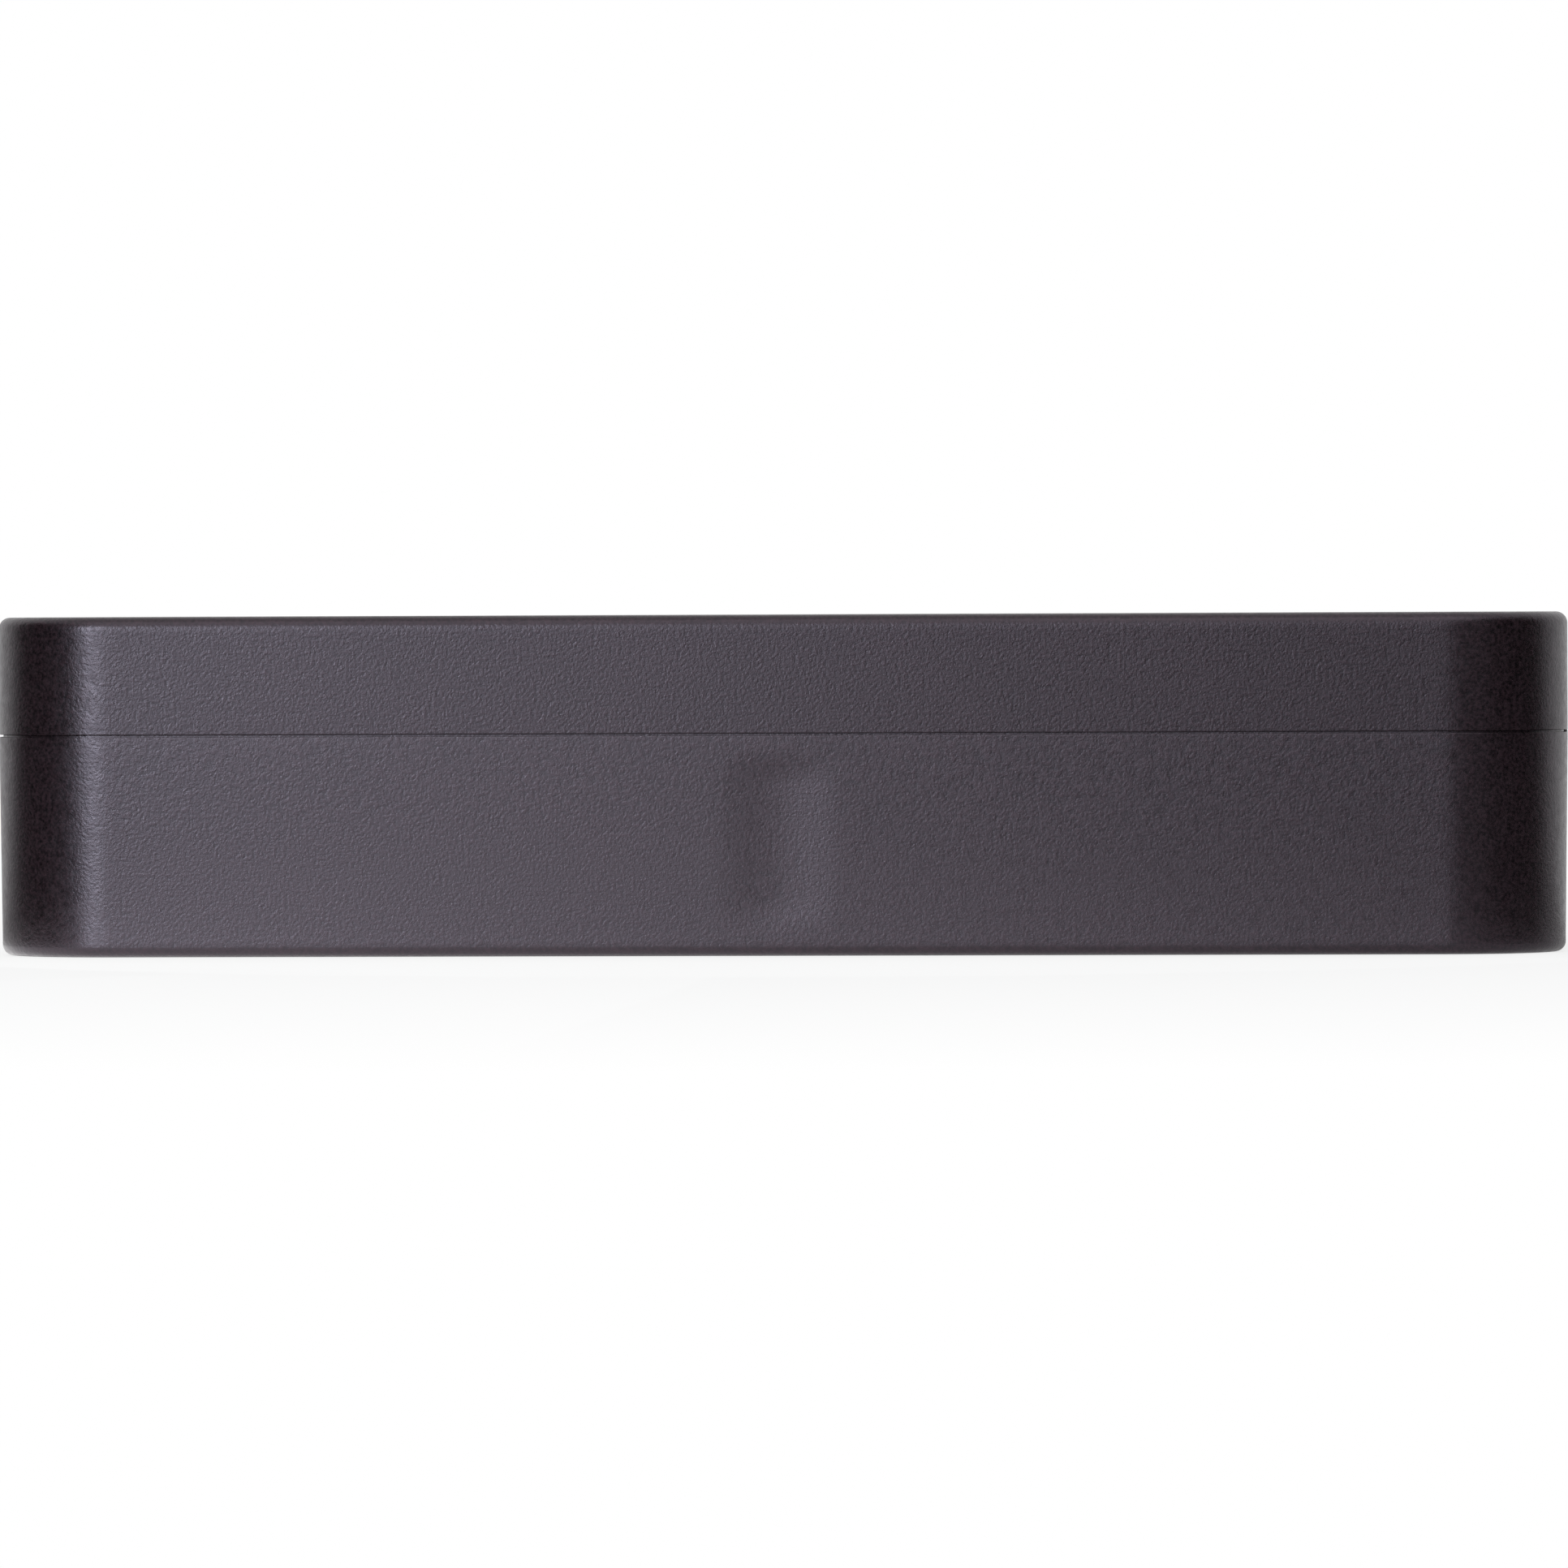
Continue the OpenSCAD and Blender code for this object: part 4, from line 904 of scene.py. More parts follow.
def makeWell(number):
    shape, name = wellShape, wellNames[number]
    low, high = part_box(name)
    centre = wellPlaces[number]
    shoulder = cadHigh.z - housing["plate"]
    mouth = cadHigh.z - shape["mouthDepth"]
    ribTop = mouth - shape["mouthTaper"]
    bm = bmesh.new()
    profile = [(shape["boreRadius"], low.z), (shape["boreRadius"], ribTop),
               (shape["mouthRadius"], mouth), (shape["mouthRadius"], high.z),
               (shape["rimRadius"], high.z), (shape["rimRadius"], shoulder),
               (shape["bodyRadius"], shoulder), (shape["bodyRadius"], low.z)]
    revolve(bm, [(radius, 0, height) for radius, height in profile], (0, 0, 1), shape["steps"])
    roundOff(bm, circleEdges(bm, 2, high.z, shape["mouthRadius"]), *shape["mouthEdge"])
    roundOff(bm, circleEdges(bm, 2, high.z, shape["rimRadius"]), *shape["rimEdge"])
    bmesh.ops.translate(bm, vec=(centre[0], centre[1], 0), verts=bm.verts)
    well = newPiece("outletWell%d" % (number + 1), bm, finishes["wellPlastic"], "strip",
                    [name])
    half = shape["ribWidth"] / 2
    for side in (0, 180):
        rib = bmesh.new()
        turnedBox(rib, (shape["ribFace"], -half, low.z), (shape["ribFoot"], half, ribTop),
                  shape["turn"] + side, centre, shape["ribEdge"])
        carve(well, rib, "UNION")
    half = shape["slotWidth"] / 2
    for side in (90, 270):
        slot = bmesh.new()
        turnedBox(slot, (shape["ribFace"], -half, low.z - past), (shape["slotReach"], half, mouth),
                  shape["turn"] + side, centre)
        carve(well, slot)
    shadeSmooth(well, shape["sharpAngle"])


def makeFloor(number):
    # A disc with two rounded pin holes and two notches for the earth clip
    shape, name = wellShape, "socket_floor_%d" % (number + 1)
    low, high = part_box(name)
    centre = wellPlaces[number]
    bm = bmesh.new()
    top, hub = ring(bm, shape["bodyRadius"], centre, high.z, shape["steps"])
    under = step(bm, top, hub, rise=low.z - high.z)
    topEdges, underEdges, rounded = list(top), list(under), []
    margin = shape["pinEdge"][0] + shape["pinLand"]
    for side in (0, 180):
        angle = radians(shape["turn"] + side)
        place = (centre[0] + shape["pinOffset"] * cos(angle), centre[1] + shape["pinOffset"] * sin(angle))
        outer, pin = ring(bm, shape["pinRadius"] + margin, place, high.z)
        mouth = step(bm, outer, pin, inset=margin)
        topEdges += outer
        underEdges += step(bm, mouth, pin, rise=low.z - high.z)
        rounded.append((mouth, *shape["pinEdge"]))
    closeAndRound(bm, (topEdges, underEdges), rounded)
    disc = newPiece("outletFloor%d" % (number + 1), bm, finishes["wellPlastic"], "strip",
                    [name])
    half = shape["slotWidth"] / 2
    for side in (90, 270):
        notch = bmesh.new()
        turnedBox(notch, (shape["notchFace"], -half, low.z - past),
                  (shape["slotReach"], half, high.z + past), shape["turn"] + side, centre)
        carve(disc, notch)
    shadeSmooth(disc, shape["sharpAngle"])


clipShape = {
    "width": 4.4 * mm,
    "thick": 0.7 * mm,
    "edge": (0.12 * mm, 2),
    "outer": 20.4 * mm,
    "kneeHeight": 27.5 * mm,
    "bulge": 17.4 * mm,
    "bulgeHeight": 33.5 * mm,
    "tipLean": 0.6 * mm,
    "tipDrop": 0.2 * mm,
    "bend": (1.6 * mm, 6),
    "sharpAngle": 40,
}


def makeClip(number):
    # A spring strip, bent up at both ends from a strap under the outlet
    shape, name = clipShape, "earth_clip_%d" % (number + 1)
    low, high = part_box(name)
    bm = bmesh.new()
    thick, outer = shape["thick"], shape["outer"]
    arm = [(outer, low.z), (outer, shape["kneeHeight"]), (shape["bulge"] + thick, shape["bulgeHeight"]),
           (outer - shape["tipLean"], high.z - shape["tipDrop"])]
    path = [(-x, z) for x, z in reversed(arm)] + arm
    points = [bm.verts.new((x, -shape["width"] / 2, z)) for x, z in path]
    lines = [bm.edges.new(pair) for pair in zip(points, points[1:])]
    moved = pointsOf(bmesh.ops.extrude_edge_only(bm, edges=lines)["geom"])
    bmesh.ops.translate(bm, vec=(0, shape["width"], 0), verts=moved)
    roundOff(bm, [edge for edge in bm.edges if len(edge.link_faces) == 2], *shape["bend"])
    bmesh.ops.recalc_face_normals(bm, faces=bm.faces)
    strap = max(bm.faces, key=lambda face: face.calc_area())
    if strap.normal.z > 0:
        bmesh.ops.reverse_faces(bm, faces=bm.faces)
    bmesh.ops.solidify(bm, geom=bm.faces[:], thickness=thick)
    roundOff(bm, [edge for edge in bm.edges if edge.calc_face_angle(0) > sharpBend], *shape["edge"])
    turnAndPlace(bm, wellShape["turn"] + 90, wellPlaces[number])
    clip = newPiece("earthClip%d" % (number + 1), bm, finishes["clipNickel"], "strip",
                    [name])
    shadeSmooth(clip, shape["sharpAngle"])


springShape = {
    "wire": 0.25 * mm,
    "wireSteps": 10,
    "radius": 3.1 * mm,
    "turns": 3,
    "turnSteps": 36,
    "rise": 1.25 * mm,
    "foot": 1.3 * mm,
    "bend": (0.3 * mm, 6),
    "turn": 245,  # degrees, where the foot stands
    "sharpAngle": 50,
}


def makeShutterSpring(number):
    # A torsion coil in the plate's recess, whose upper end stands in the shutter
    shape, name = springShape, "shutter_spring_%d" % (number + 1)
    low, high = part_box(name)
    centre = wellPlaces[number]
    start = low.z + shape["wire"]
    top = start + shape["rise"]
    bm = bmesh.new()
    points = bmesh.ops.create_circle(bm, segments=shape["wireSteps"], radius=shape["wire"],
                                     matrix=Matrix.Rotation(radians(90), 4, "X"))["verts"]
    bmesh.ops.translate(bm, vec=(shape["radius"], -shape["foot"], start), verts=points)
    run = bm.edges[:]
    cap(bm, run)
    run = drawOut(bm, run, (0, shape["foot"], 0))
    count = shape["turns"] * shape["turnSteps"]
    run = bmesh.ops.spin(bm, geom=run, cent=(0, 0, 0), axis=(0, 0, 1), dvec=(0, 0, shape["rise"] / count),
                         angle=shape["turns"] * 2 * pi, steps=count)["geom_last"]
    bend, steps = shape["bend"]
    run = bmesh.ops.spin(bm, geom=edgesOf(run), cent=(0, 0, top + bend), axis=(1, 0, 0),
                         angle=pi / 2, steps=steps)["geom_last"]
    cap(bm, drawOut(bm, edgesOf(run), (0, 0, high.z - top - bend)))
    turnAndPlace(bm, shape["turn"], centre)
    piece = newPiece("shutterSpring%d" % (number + 1), bm, finishes["springSteel"], None,
                     [name])
    shadeSmooth(piece, shape["sharpAngle"])
    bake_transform(piece)


def drawOut(bm, edges, way):
    # Lengthens a tube from its open rim, and returns the new rim
    made = edgesOf(bmesh.ops.extrude_edge_only(bm, edges=edges)["geom"])
    rim = [edge for edge in made if edge.is_boundary]
    bmesh.ops.translate(bm, vec=way, verts=list({point for edge in rim for point in edge.verts}))
    return rim


# Switch: a housing in the cover's pocket, and the rocker with its two printed marks
switchShape = {
    "size": (28 * mm, 21 * mm),
    "bezelSize": (32 * mm, 25 * mm),
    "bezelRadius": 2.5 * mm,
    "bezelSteps": 8,
    "bezel": 1.6 * mm,
    "bezelEdge": (0.5 * mm, 5),
    "window": (25.4 * mm, 18.2 * mm),
    "windowRadius": 0.6 * mm,
    "windowSteps": 6,
    "windowEdge": (0.25 * mm, 3),
    "land": 0.2 * mm,
    "floor": 2 * mm,
    "catch": (1.4 * mm, 8 * mm, 1.5 * mm),  # thickness, width, height
    "catchDrop": 1.9 * mm,
    "catchSlope": 0.6,
    "divider": (2 * mm, 7.5 * mm),  # thickness, height
    "lampSeat": (2.5 * mm, 9 * mm, 0.8 * mm),  # start, end, height on the divider
    "bladeSlot": (6.4 * mm, 0.9 * mm),
    "bladePlaces": (0, 8.2 * mm),
    "pole": 5.2 * mm,
    "trunnionBore": 1.65 * mm,
    "boreReach": 0.1 * mm,
}


def switchShell():
    # The bezel, the box below it and the window that the rocker stands in, as one closed skin
    shape, bm = switchShape, bmesh.new()
    low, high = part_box("switch_housing")
    centre, top, bottom = switchPivot.xy, high.z, low.z
    lap = (shape["bezelSize"][0] - shape["size"][0]) / 2
    margin = shape["bezelEdge"][0] + shape["land"]
    size = [length - 2 * margin for length in shape["bezelSize"]]
    topRim, hub = outline(bm, size, shape["bezelRadius"] - margin, centre, top, shape["bezelSteps"])
    outer = step(bm, topRim, hub, inset=-margin)
    run = step(bm, outer, hub, rise=-shape["bezel"])
    run = step(bm, run, hub, inset=lap)
    run = step(bm, run, hub, rise=bottom + shape["bezel"] - top)
    cap(bm, run)
    margin = shape["windowEdge"][0] + shape["land"]
    size = [length + 2 * margin for length in shape["window"]]
    windowRim, hub = outline(bm, size, shape["windowRadius"] + margin, centre, top, shape["windowSteps"])
    mouth = step(bm, windowRim, hub, inset=margin)
    cap(bm, step(bm, mouth, hub, rise=bottom + shape["floor"] - top))
    rounded = [(outer, *shape["bezelEdge"]), (mouth, *shape["windowEdge"])]
    closeAndRound(bm, (topRim + windowRim,), rounded)
    return bm


def switchCatches(bezelUnder):
    # A snap wedge at each end of the box
    shape, bm = switchShape, bmesh.new()
    thick, wide, tall = shape["catch"]
    under = bezelUnder - shape["catchDrop"]
    for side in (-1, 1):
        x = switchPivot.x + side * shape["size"][0] / 2
        points = block(bm, (x - thick / 2, -wide / 2, under - tall), (x + thick / 2, wide / 2, under))
        tips = [point for point in points if point.co.z < under - tall / 2 and (point.co.x - x) * side > 0]
        bmesh.ops.translate(bm, vec=(-side * shape["catchSlope"] * thick, 0, 0), verts=tips)
    return bm


def switchDivider(inside):
    # The rib between the two poles and the lamp's seat on it
    shape, rib, seat = switchShape, bmesh.new(), bmesh.new()
    x = switchPivot.x
    thick, height = shape["divider"]
    reach = (shape["window"][0] + shape["size"][0]) / 4
    block(rib, (x - reach, -thick / 2, inside - sunk), (x + reach, thick / 2, inside + height))
    start, end, rise = shape["lampSeat"]
    block(seat, (x + start, -thick / 2, inside + height - sunk),
          (x + end, thick / 2, inside + height + rise))
    return rib, seat


def switchHoles(bottom, inside):
    # The trunnions' bores and the slots that the four terminals' blades pass through
    shape, bm = switchShape, bmesh.new()
    half = Vector((0, shape["size"][1] / 2 + shape["boreReach"], 0))
    rod(bm, shape["trunnionBore"], switchPivot - half, switchPivot + half)
    long, wide = shape["bladeSlot"]
    for place in shape["bladePlaces"]:
        x = switchPivot.x + place
        for y in (-shape["pole"], shape["pole"]):
            block(bm, (x - long / 2, y - wide / 2, bottom - sunk),
                  (x + long / 2, y + wide / 2, inside + sunk))
    return bm


def makeSwitchBody():
    low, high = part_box("switch_housing")
    inside = low.z + switchShape["floor"]
    body = newPiece("switchBody", switchShell(), finishes["bezelPlastic"], "strip",
                    ["switch_housing"])
    for tool in (switchCatches(high.z - switchShape["bezel"]), *switchDivider(inside)):
        carve(body, tool, "UNION")
    carve(body, switchHoles(low.z, inside))
    shadeSmooth(body)


# Sizes about the trunnions' axis: the cap's ends lie on one radius, and its top dips in the middle
rockerShape = {
    "radius": 12.35 * mm,
    "width": 17.5 * mm,
    "skirt": 2.6 * mm,
    "rise": 3.815 * mm,
    "dip": 2.0 * mm,
    "tilt": 9,  # degrees
    "blend": (5 * mm, 14),
    "corner": (0.9 * mm, 5),
    "endSteps": 12,
    "endGap": 0.05 * mm,
    "edge": (0.6 * mm, 4),
    "hollow": (9.35 * mm, 7.25 * mm),  # half its length and width
    "ceiling": 0.4 * mm,
    "tubeRadius": 2.6 * mm,
    "tubeBore": 1.85 * mm,
    "tubeDrop": 9.5 * mm,
    "tubeSunk": 0.3 * mm,
    "trunnion": 1.6 * mm,
    "trunnionLand": 0.6 * mm,
    "trunnionEnd": 10.3 * mm,
    "sharpAngle": 30,
}
rockerSlope = atan((rockerShape["rise"] - rockerShape["dip"]) / rockerShape["radius"])


def onRocker():
    # The rocker's resting, switched-off tilt about its trunnions
    return Matrix.Translation(switchPivot) @ Matrix.Rotation(radians(rockerShape["tilt"]), 4, "Y")


def rockerSide():
    # One half of the cap seen from the side: each corner's x and z, its rounding and that one's steps
    shape, radius = rockerShape, rockerShape["radius"]
    foot = asin(shape["skirt"] / radius)
    head = asin(shape["dip"] * cos(rockerSlope) / radius) + rockerSlope
    knee = radius / cos((head + foot) / 2)
    corner, steps = shape["corner"]
    bow = radius * tan((head + foot) / 2) - corner - shape["endGap"]
    return [(radius * cos(head), radius * sin(head), corner, steps),
            (knee * cos((head - foot) / 2), knee * sin((head - foot) / 2), bow, shape["endSteps"]),
            (radius * cos(foot), -shape["skirt"], corner, steps)]


def makeRocker():
    shape, bm = rockerShape, bmesh.new()
    path = [(0, shape["dip"], *shape["blend"])] + rockerSide()
    path += [(-x, z, offset, steps) for x, z, offset, steps in reversed(rockerSide())]
    points = [bm.verts.new((x, -shape["width"] / 2, z)) for x, z, offset, steps in path]
    bm.faces.new(points)
    for point, (x, z, offset, steps) in zip(points, path):
        bmesh.ops.bevel(bm, geom=[point], affect="VERTICES", offset=offset, offset_type="OFFSET",
                        segments=steps, profile=0.5, material=-1)
    moved = pointsOf(bmesh.ops.extrude_face_region(bm, geom=bm.faces[:])["geom"])
    bmesh.ops.translate(bm, vec=(0, shape["width"], 0), verts=moved)
    rocker = newPiece("rockerCap", bm, finishes["rockerRed"], "rocker", ["rocker"])
    hollow, fittings = rockerUnderside()
    carve(rocker, hollow)
    carve(rocker, fittings, "UNION")
    finishRocker(rocker.data)
    shadeSmooth(rocker, shape["sharpAngle"])


def rockerUnderside():
    # The room under the rocker, its two plunger tubes and its trunnions
    shape, hollow, fittings = rockerShape, bmesh.new(), bmesh.new()
    long, wide = shape["hollow"]
    drop, ceiling = shape["tubeDrop"], shape["ceiling"]
    block(hollow, (-long, -wide, -shape["skirt"] - past), (long, wide, ceiling))
    for side in (-1, 1):
        foot, hub = ring(fittings, shape["tubeRadius"], (0, side * switchShape["pole"]), -drop)
        cap(fittings, step(fittings, foot, hub, rise=drop + ceiling + shape["tubeSunk"]))
        bore = step(fittings, foot, hub, inset=shape["tubeRadius"] - shape["tubeBore"])
        cap(fittings, step(fittings, bore, hub, rise=drop + ceiling))
        rod(fittings, shape["trunnion"], (0, side * (shape["width"] / 2 - sunk), 0),
            (0, side * shape["trunnionEnd"], 0))
    return hollow, fittings


def finishRocker(mesh):
    # Rounds the rims of the two side faces, then tilts the rocker into its place
    bm = bmesh.new()
    bm.from_mesh(mesh)
    side, hub = rockerShape["width"] / 2, rockerShape["trunnion"] + rockerShape["trunnionLand"]
    rims = [edge for edge in bm.edges if edge.calc_face_angle(0) > sharpBend
            and all(abs(abs(point.co.y) - side) < near and point.co.xz.length > hub
                    for point in edge.verts)]
    roundOff(bm, rims, *rockerShape["edge"])
    bmesh.ops.transform(bm, matrix=onRocker(), verts=bm.verts)
    bm.to_mesh(mesh)
    bm.free()


markShape = {
    "place": 6.4 * mm,
    "proud": 0.03 * mm,
    "thick": 0.25 * mm,
    "bar": (4.6 * mm, 1.0 * mm),
    "barSteps": 6,
    "ringRadius": 2.3 * mm,
    "ringWidth": 0.9 * mm,
    "sharpAngle": 30,
}


def makeMarks():
    # Bar for on and ring for off, printed on the rocker's two slopes
    shape, bm = markShape, bmesh.new()
    bar, hub = outline(bm, shape["bar"], shape["bar"][1] / 2 - near, steps=shape["barSteps"])
    cap(bm, bar)
    cap(bm, step(bm, bar, hub, rise=-shape["thick"]))
    layOnSlope(bm, bm.verts[:], -shape["place"], rockerSlope)
    barPoints = set(bm.verts)
    rim, hub = ring(bm, shape["ringRadius"])
    run = step(bm, rim, hub, inset=shape["ringWidth"])
    run = step(bm, run, hub, rise=-shape["thick"])
    run = step(bm, run, hub, inset=-shape["ringWidth"])
    bmesh.ops.bridge_loops(bm, edges=run + rim)
    ringPoints = [point for point in bm.verts if point not in barPoints]
    layOnSlope(bm, ringPoints, shape["place"], -rockerSlope)
    bmesh.ops.transform(bm, matrix=onRocker(), verts=bm.verts)
    marks = newPiece("rockerMarks", bm, finishes["markPaint"], "rocker")
    shadeSmooth(marks, shape["sharpAngle"])


def layOnSlope(bm, points, along, slope):
    height = rockerShape["dip"] + abs(along) * tan(abs(slope)) + markShape["proud"] / cos(slope)
    bmesh.ops.transform(bm, matrix=Matrix.Translation((along, 0, height))
                        @ Matrix.Rotation(slope, 4, "Y"), verts=points)


# Cord gland: a turned rubber bush in the back wall
glandShape = {
    "steps": 96,
    "boreRadius": 4.2 * mm,
    "mouth": (0.9 * mm, 6),
    "neckRadius": 5.5 * mm,
    "neck": 1.9 * mm,
    "flangeRadius": 7.5 * mm,
    "flange": 1.2 * mm,
    "flangeEdge": (0.3 * mm, 3),
    "collarRadius": 6.4 * mm,
    "seatDepth": 4 * mm,
    "play": 0.05 * mm,
    "sharpAngle": 34,
}


def makeGland():
    low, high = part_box("cord_gland")
    centre = (low + high) / 2
    bm, shape = bmesh.new(), glandShape
    deep = high.y - low.y
    neckEnd = shape["flange"] + shape["neck"]
    profile = [(shape["boreRadius"], deep), (shape["boreRadius"], 0), (shape["flangeRadius"], 0),
               (shape["flangeRadius"], shape["flange"]), (shape["neckRadius"], shape["flange"]),
               (shape["neckRadius"], neckEnd), (shape["collarRadius"], neckEnd),
               (shape["collarRadius"], deep)]
    revolve(bm, [(radius, -depth, 0) for radius, depth in profile], (0, 1, 0), shape["steps"])
    roundOff(bm, circleEdges(bm, 1, 0, shape["boreRadius"]), *shape["mouth"])
    roundOff(bm, circleEdges(bm, 1, 0, shape["flangeRadius"]), *shape["flangeEdge"])
    bmesh.ops.translate(bm, vec=(centre.x, high.y, centre.z), verts=bm.verts)
    piece = newPiece("cordGland", bm, finishes["glandRubber"], "strip", ["cord_gland"])
    shadeSmooth(piece, shape["sharpAngle"])


makeCover()
print("cover done")
makeBase()
print("base done")
for number in range(len(wellNames)):
    makeWell(number)
    makeFloor(number)
    makeClip(number)
    makeShutterSpring(number)
print("outlets done")
makeSwitchBody()
makeRocker()
makeMarks()
makeGland()
print("switch and gland done")

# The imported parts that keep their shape, by finish
keptShapes = {
    "shutterPlastic": ["shutter_1", "shutter_2", "shutter_3"],
    "platePlastic": ["shutter_plate_1", "shutter_plate_2", "shutter_plate_3"],
    "springSteel": ["plunger_springs"],
    "naturalPlastic": ["contact_tray", "cord_clamp"],
    "barBrass": ["live_bar", "neutral_bar", "earth_rail"],
    "plungerPlastic": ["plungers"],
    "bridgeCopper": ["contact_bridges"],
    "terminalTin": ["line_terminals", "load_terminals"],
    "brownInsulation": ["live_lead"],
    "blueInsulation": ["neutral_lead"],
    "lampGlass": ["neon_lamp"],
    "resistorLacquer": ["lamp_resistor"],
    "screwZinc": ["clamp_screws", "housing_screws"],
}
for finish, names in keptShapes.items():
    for name in names:
        slots = frame["nodes"][name].data.materials
        slots.clear()
        slots.append(finishes[finish])
print("inner parts finished")


# Studio: a pale floor, a white surround, soft lamps, and cards that only reflections see
studio = {
    "floorTone": 0.80,
    "floorRough": 0.9,
    "floorHalf": 30,
    "floorCells": 8,
    "floorDrop": 0.05 * mm,
    "floorGrain": (1.2 * mm, 0.01 * mm),  # size, depth
    "nearGlow": 0.8,
    "glowReach": (0.1, 0.4),  # how far from the middle it grows from nearGlow to full
    "worldLight": 0.40,
}

# The dark cards stand in arcs, each between two angles in degrees, with a bright card at the foot
cards = {
    "arcs": [(-110, -35), (-1, 105)],
    "arcSteps": 12,
    "inner": 0.112,
    "outer": 2.2,
    "tall": 2.0,
    "rise": 0.2 * mm,
    "tones": [(0.3, (0.008, 0.008, 0.008)), (0.7, (0.012, 0.012, 0.012))],
    "cloud": 5 * mm,
    "footRise": 0.1 * mm,
    "footGlow": (1.85, 0.6),  # at the strip's left and right end
}

# Soft boxes round the front: turn in degrees, distance, width and height, power and colour
boxFoot = 0.02  # height of their lower edges
softBoxes = {
    "keyBox": {"turn": -21.5, "far": 1.6, "size": (0.39, 0.5), "power": 13.1, "colour": (0.91, 1.01, 1.07)},
    "frontBox": {"turn": -2, "far": 1.6, "size": (0.20, 0.7), "power": 1.1, "colour": (1, 1, 1)},
    "sideBox": {"turn": 30, "far": 1.6, "size": (0.67, 0.7), "power": 0.6, "colour": (1, 1, 1)},
}
topBox = {"place": (0, 0.15, 1.3), "size": (1.0, 1.0), "power": 7}
frontCanopy = {"place": (0, -0.95, 1.05), "size": (1.6, 1.1), "power": 7}


def backgroundRays(tree):
    # Seen directly, in a reflection or through glass
    rays = tree.nodes.new("ShaderNodeLightPath")
    factor = rays.outputs["Is Camera Ray"]
    for kind in ("Is Glossy Ray", "Is Transmission Ray"):
        either = tree.nodes.new("ShaderNodeMath")
        either.operation = "MAXIMUM"
        tree.links.new(factor, either.inputs[0])
        tree.links.new(rays.outputs[kind], either.inputs[1])
        factor = either.outputs[0]
    return factor


def mixShaders(tree, factor, first, second):
    mix = tree.nodes.new("ShaderNodeMixShader")
    tree.links.new(factor, mix.inputs["Fac"])
    tree.links.new(first, mix.inputs[1])
    tree.links.new(second, mix.inputs[2])
    return mix.outputs["Shader"]


def floorMaterial():
    # Paper that takes a shadow near the object, glows white further out and is clear from below
    material, tree, shader = newMaterial("floorPaper", (studio["floorTone"],) * 3, studio["floorRough"])
    place = surfacePlace(tree)
    grain, depth = studio["floorGrain"]
    rippled(tree, shader, place, grain, 3, depth)
    glow = tree.nodes.new("ShaderNodeEmission")
    share = tree.nodes.new("ShaderNodeMath")
    share.operation = "MULTIPLY"
    away = tree.nodes.new("ShaderNodeVectorMath")
    away.operation = "LENGTH"
    tree.links.new(place, away.inputs[0])
    fading = between(tree, away.outputs["Value"], studio["nearGlow"], 1, *studio["glowReach"])
    tree.links.new(fading, share.inputs[1])
    tree.links.new(backgroundRays(tree), share.inputs[0])
    above = mixShaders(tree, share.outputs[0], shader.outputs["BSDF"], glow.outputs["Emission"])
    side = tree.nodes.new("ShaderNodeNewGeometry")
    clear = tree.nodes.new("ShaderNodeBsdfTransparent")
    whole = mixShaders(tree, side.outputs["Backfacing"], above, clear.outputs["BSDF"])
    tree.links.new(whole, tree.nodes["Material Output"].inputs["Surface"])
    return material


def makeWorld():
    world = bpy.data.worlds.new("studioAir")
    scene.world = world
    world.use_nodes = True
    tree = world.node_tree
    air = tree.nodes["Background"]
    white = tree.nodes.new("ShaderNodeBackground")
    for back, strength in ((air, studio["worldLight"]), (white, 1)):
        back.inputs["Color"].default_value = (1, 1, 1, 1)
        back.inputs["Strength"].default_value = strength
    both = mixShaders(tree, backgroundRays(tree), air.outputs["Background"], white.outputs["Background"])
    tree.links.new(both, tree.nodes["World Output"].inputs["Surface"])


def stagePiece(name, bm, material):
    mesh = bpy.data.meshes.new(name)
    bm.to_mesh(mesh)
    bm.free()
    piece = bpy.data.objects.new(name, mesh)
    scene.collection.objects.link(piece)
    mesh.materials.append(material)
    return piece


def makeFloorPlane():
    bm = bmesh.new()
    cells = studio["floorCells"]
    bmesh.ops.create_grid(bm, x_segments=cells, y_segments=cells, size=studio["floorHalf"])
    bmesh.ops.translate(bm, vec=(0, 0, cadLow.z - studio["floorDrop"]), verts=bm.verts)
    stagePiece("studioFloor", bm, floorMaterial())


def onlyReflected(card):
    card.visible_camera = card.visible_diffuse = card.visible_shadow = False
    card.visible_transmission = False


def makeArcCard(start, end, material):
    # Runs out along the floor from its inner arc, then stands up behind the lamps
    bm = bmesh.new()
    points = []
    for number in range(cards["arcSteps"] + 1):
        angle = radians(start + (end - start) * number / cards["arcSteps"])
        points.append(bm.verts.new((cards["inner"] * sin(angle), -cards["inner"] * cos(angle),
                                    cards["rise"])))
    run = [bm.edges.new(pair) for pair in zip(points, points[1:])]
    for scale, rise in ((cards["outer"] / cards["inner"], 0), (1, cards["tall"])):
        made = bmesh.ops.extrude_edge_only(bm, edges=run)["geom"]
        moved = pointsOf(made)
        bmesh.ops.scale(bm, vec=(scale, scale, 1), verts=moved)
        bmesh.ops.translate(bm, vec=(0, 0, rise), verts=moved)
        run = [edge for edge in edgesOf(made) if edge.verts[0] in moved and edge.verts[1] in moved]
    onlyReflected(stagePiece("studioCard", bm, material))


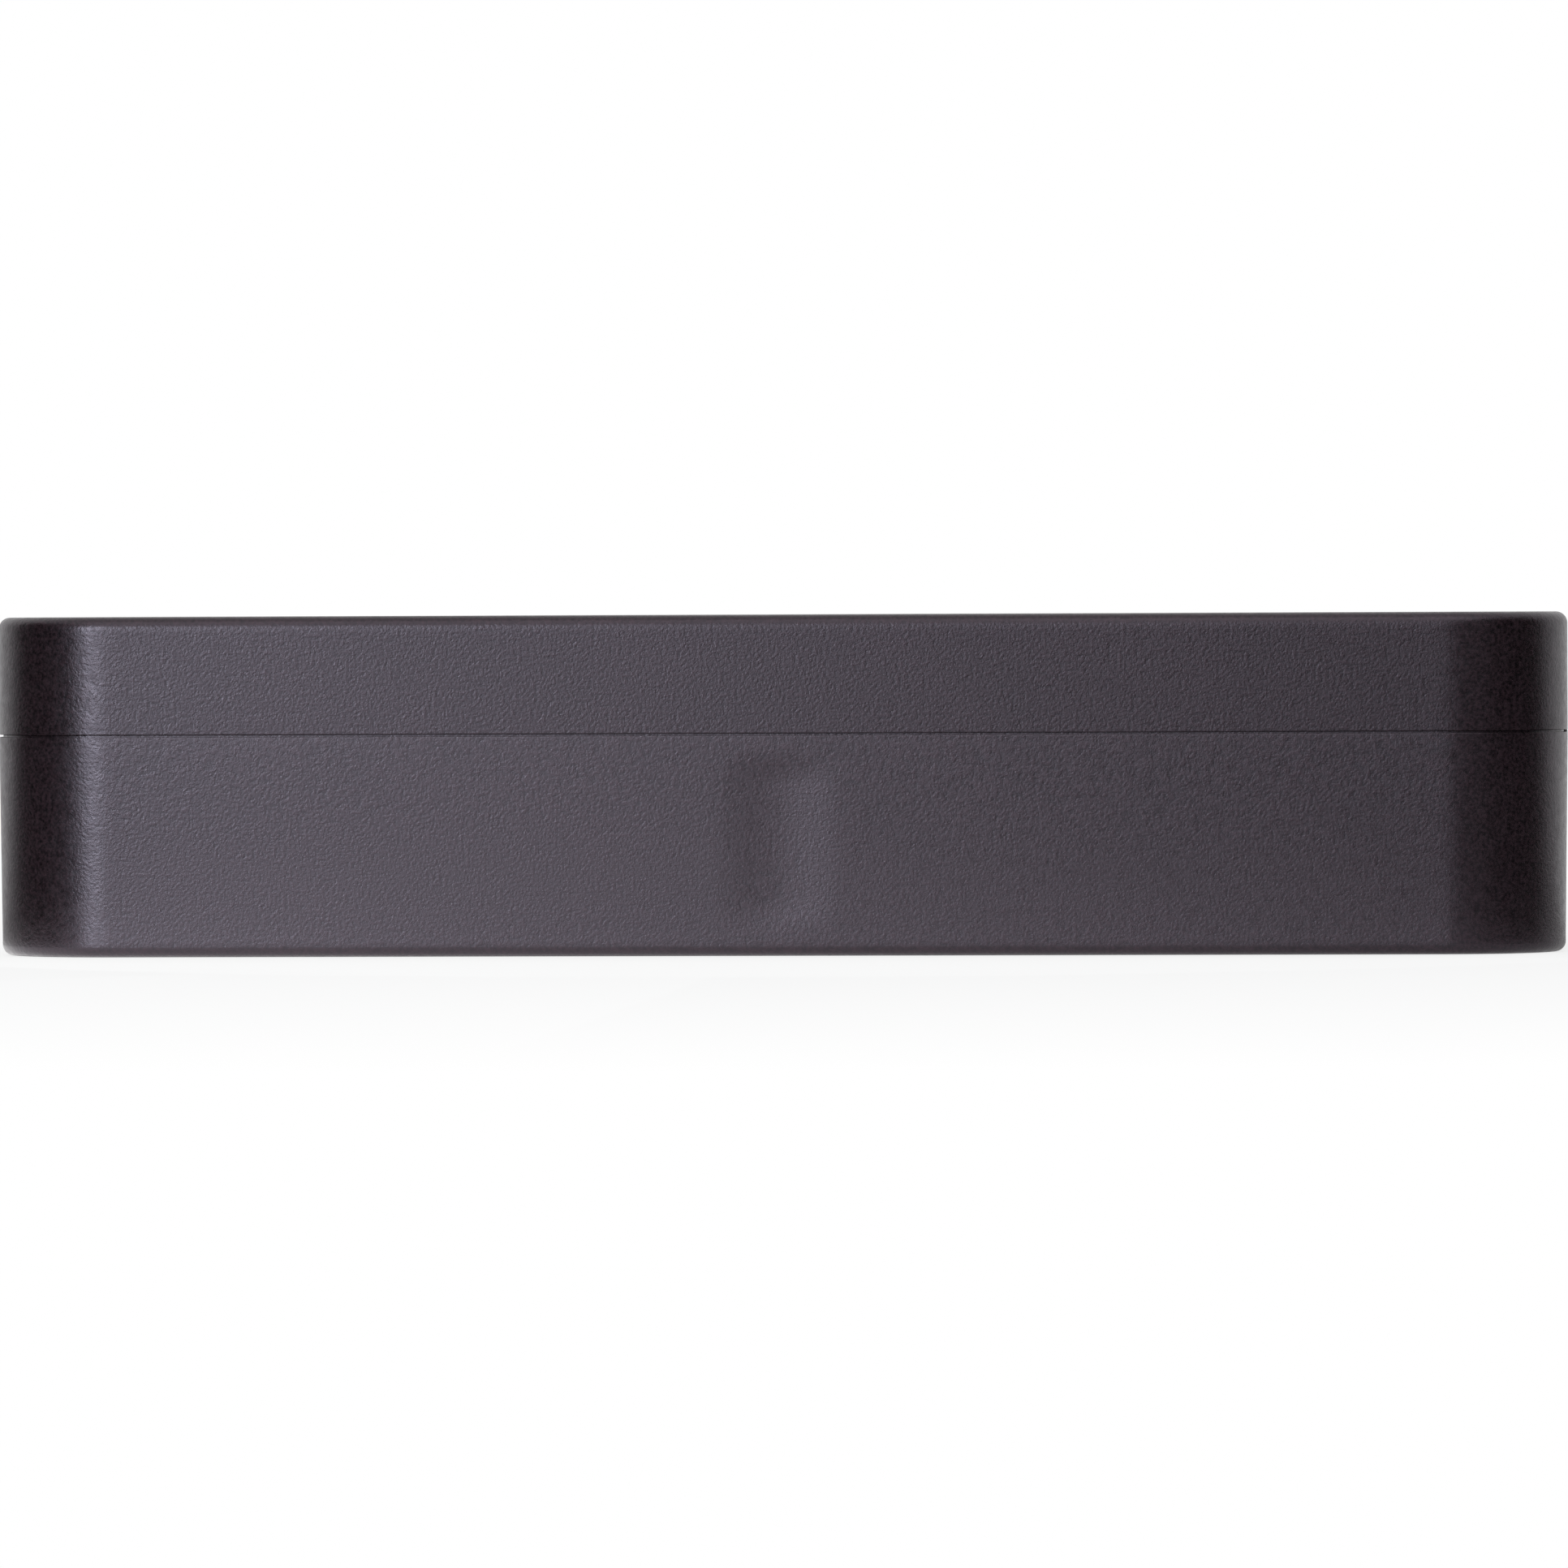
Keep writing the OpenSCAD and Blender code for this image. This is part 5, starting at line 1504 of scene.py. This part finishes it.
def makeFootCard():
    # A bright disc round the foot of the strip, brighter on the left
    bm = bmesh.new()
    cap(bm, ring(bm, cards["inner"], height=cards["footRise"])[0])
    material, tree, shader = newMaterial("cardGlow", (0, 0, 0), 1.0)
    shader.inputs["Emission Color"].default_value = (1, 1, 1, 1)
    along = tree.nodes.new("ShaderNodeSeparateXYZ")
    tree.links.new(surfacePlace(tree), along.inputs["Vector"])
    glow = between(tree, along.outputs["X"], *cards["footGlow"], cadLow.x, cadHigh.x)
    tree.links.new(glow, shader.inputs["Emission Strength"])
    onlyReflected(stagePiece("footCard", bm, material))


def makeCards():
    felt, tree, shader = newMaterial("cardFelt", (0.01, 0.01, 0.01), 1.0)
    clouded(tree, shader, noise(tree, surfacePlace(tree), cards["cloud"], 3), *cards["tones"])
    for start, end in cards["arcs"]:
        makeArcCard(start, end, felt)
    makeFootCard()


def areaLight(name, place, target, size, power, colour=(1, 1, 1)):
    data = bpy.data.lights.new(name, "AREA")
    data.color = colour
    data.shape = "RECTANGLE"
    data.size, data.size_y = size
    data.energy = power
    light = bpy.data.objects.new(name, data)
    scene.collection.objects.link(light)
    light.location = place
    light.rotation_euler = (Vector(target) - Vector(place)).to_track_quat("-Z", "Y").to_euler()
    return light


def makeLights():
    middle = (cadLow + cadHigh) / 2
    for name, box in softBoxes.items():
        turn, height = radians(box["turn"]), boxFoot + box["size"][1] / 2
        place = Vector((box["far"] * sin(turn), -box["far"] * cos(turn), height))
        areaLight(name, place, (0, 0, height), box["size"], box["power"], box["colour"])
    overhead = areaLight("topBox", topBox["place"], middle, topBox["size"], topBox["power"])
    overhead.visible_glossy = False
    canopy = areaLight("frontCanopy", frontCanopy["place"], middle, frontCanopy["size"],
                       frontCanopy["power"])
    canopy.visible_diffuse = False


# Turn and roll in degrees; the camera looks at the front wall, a little beside its middle
view = {"distance": 1.5, "turn": 3.6, "height": 43 * mm, "lens": 280.15, "sensor": 36, "roll": -0.234,
        "across": 1.31 * mm, "aimHeight": 21.18 * mm}


def makeCamera():
    data = bpy.data.cameras.new("viewCamera")
    data.sensor_width = view["sensor"]
    data.lens = view["lens"]
    camera = bpy.data.objects.new("viewCamera", data)
    scene.collection.objects.link(camera)
    turn, far = radians(view["turn"]), view["distance"]
    aim = Vector((view["across"], cadLow.y, view["aimHeight"]))
    place = Vector((aim.x + far * sin(turn), aim.y - far * cos(turn), view["height"]))
    look = (aim - place).to_track_quat("-Z", "Y").to_matrix().to_4x4()
    roll = Matrix.Rotation(radians(view["roll"]), 4, "Z")
    camera.matrix_world = Matrix.Translation(place) @ look @ roll
    scene.camera = camera


makeWorld()
makeFloorPlane()
makeCards()
makeLights()
makeCamera()
scene.view_settings.view_transform = "Standard"
print("studio done")
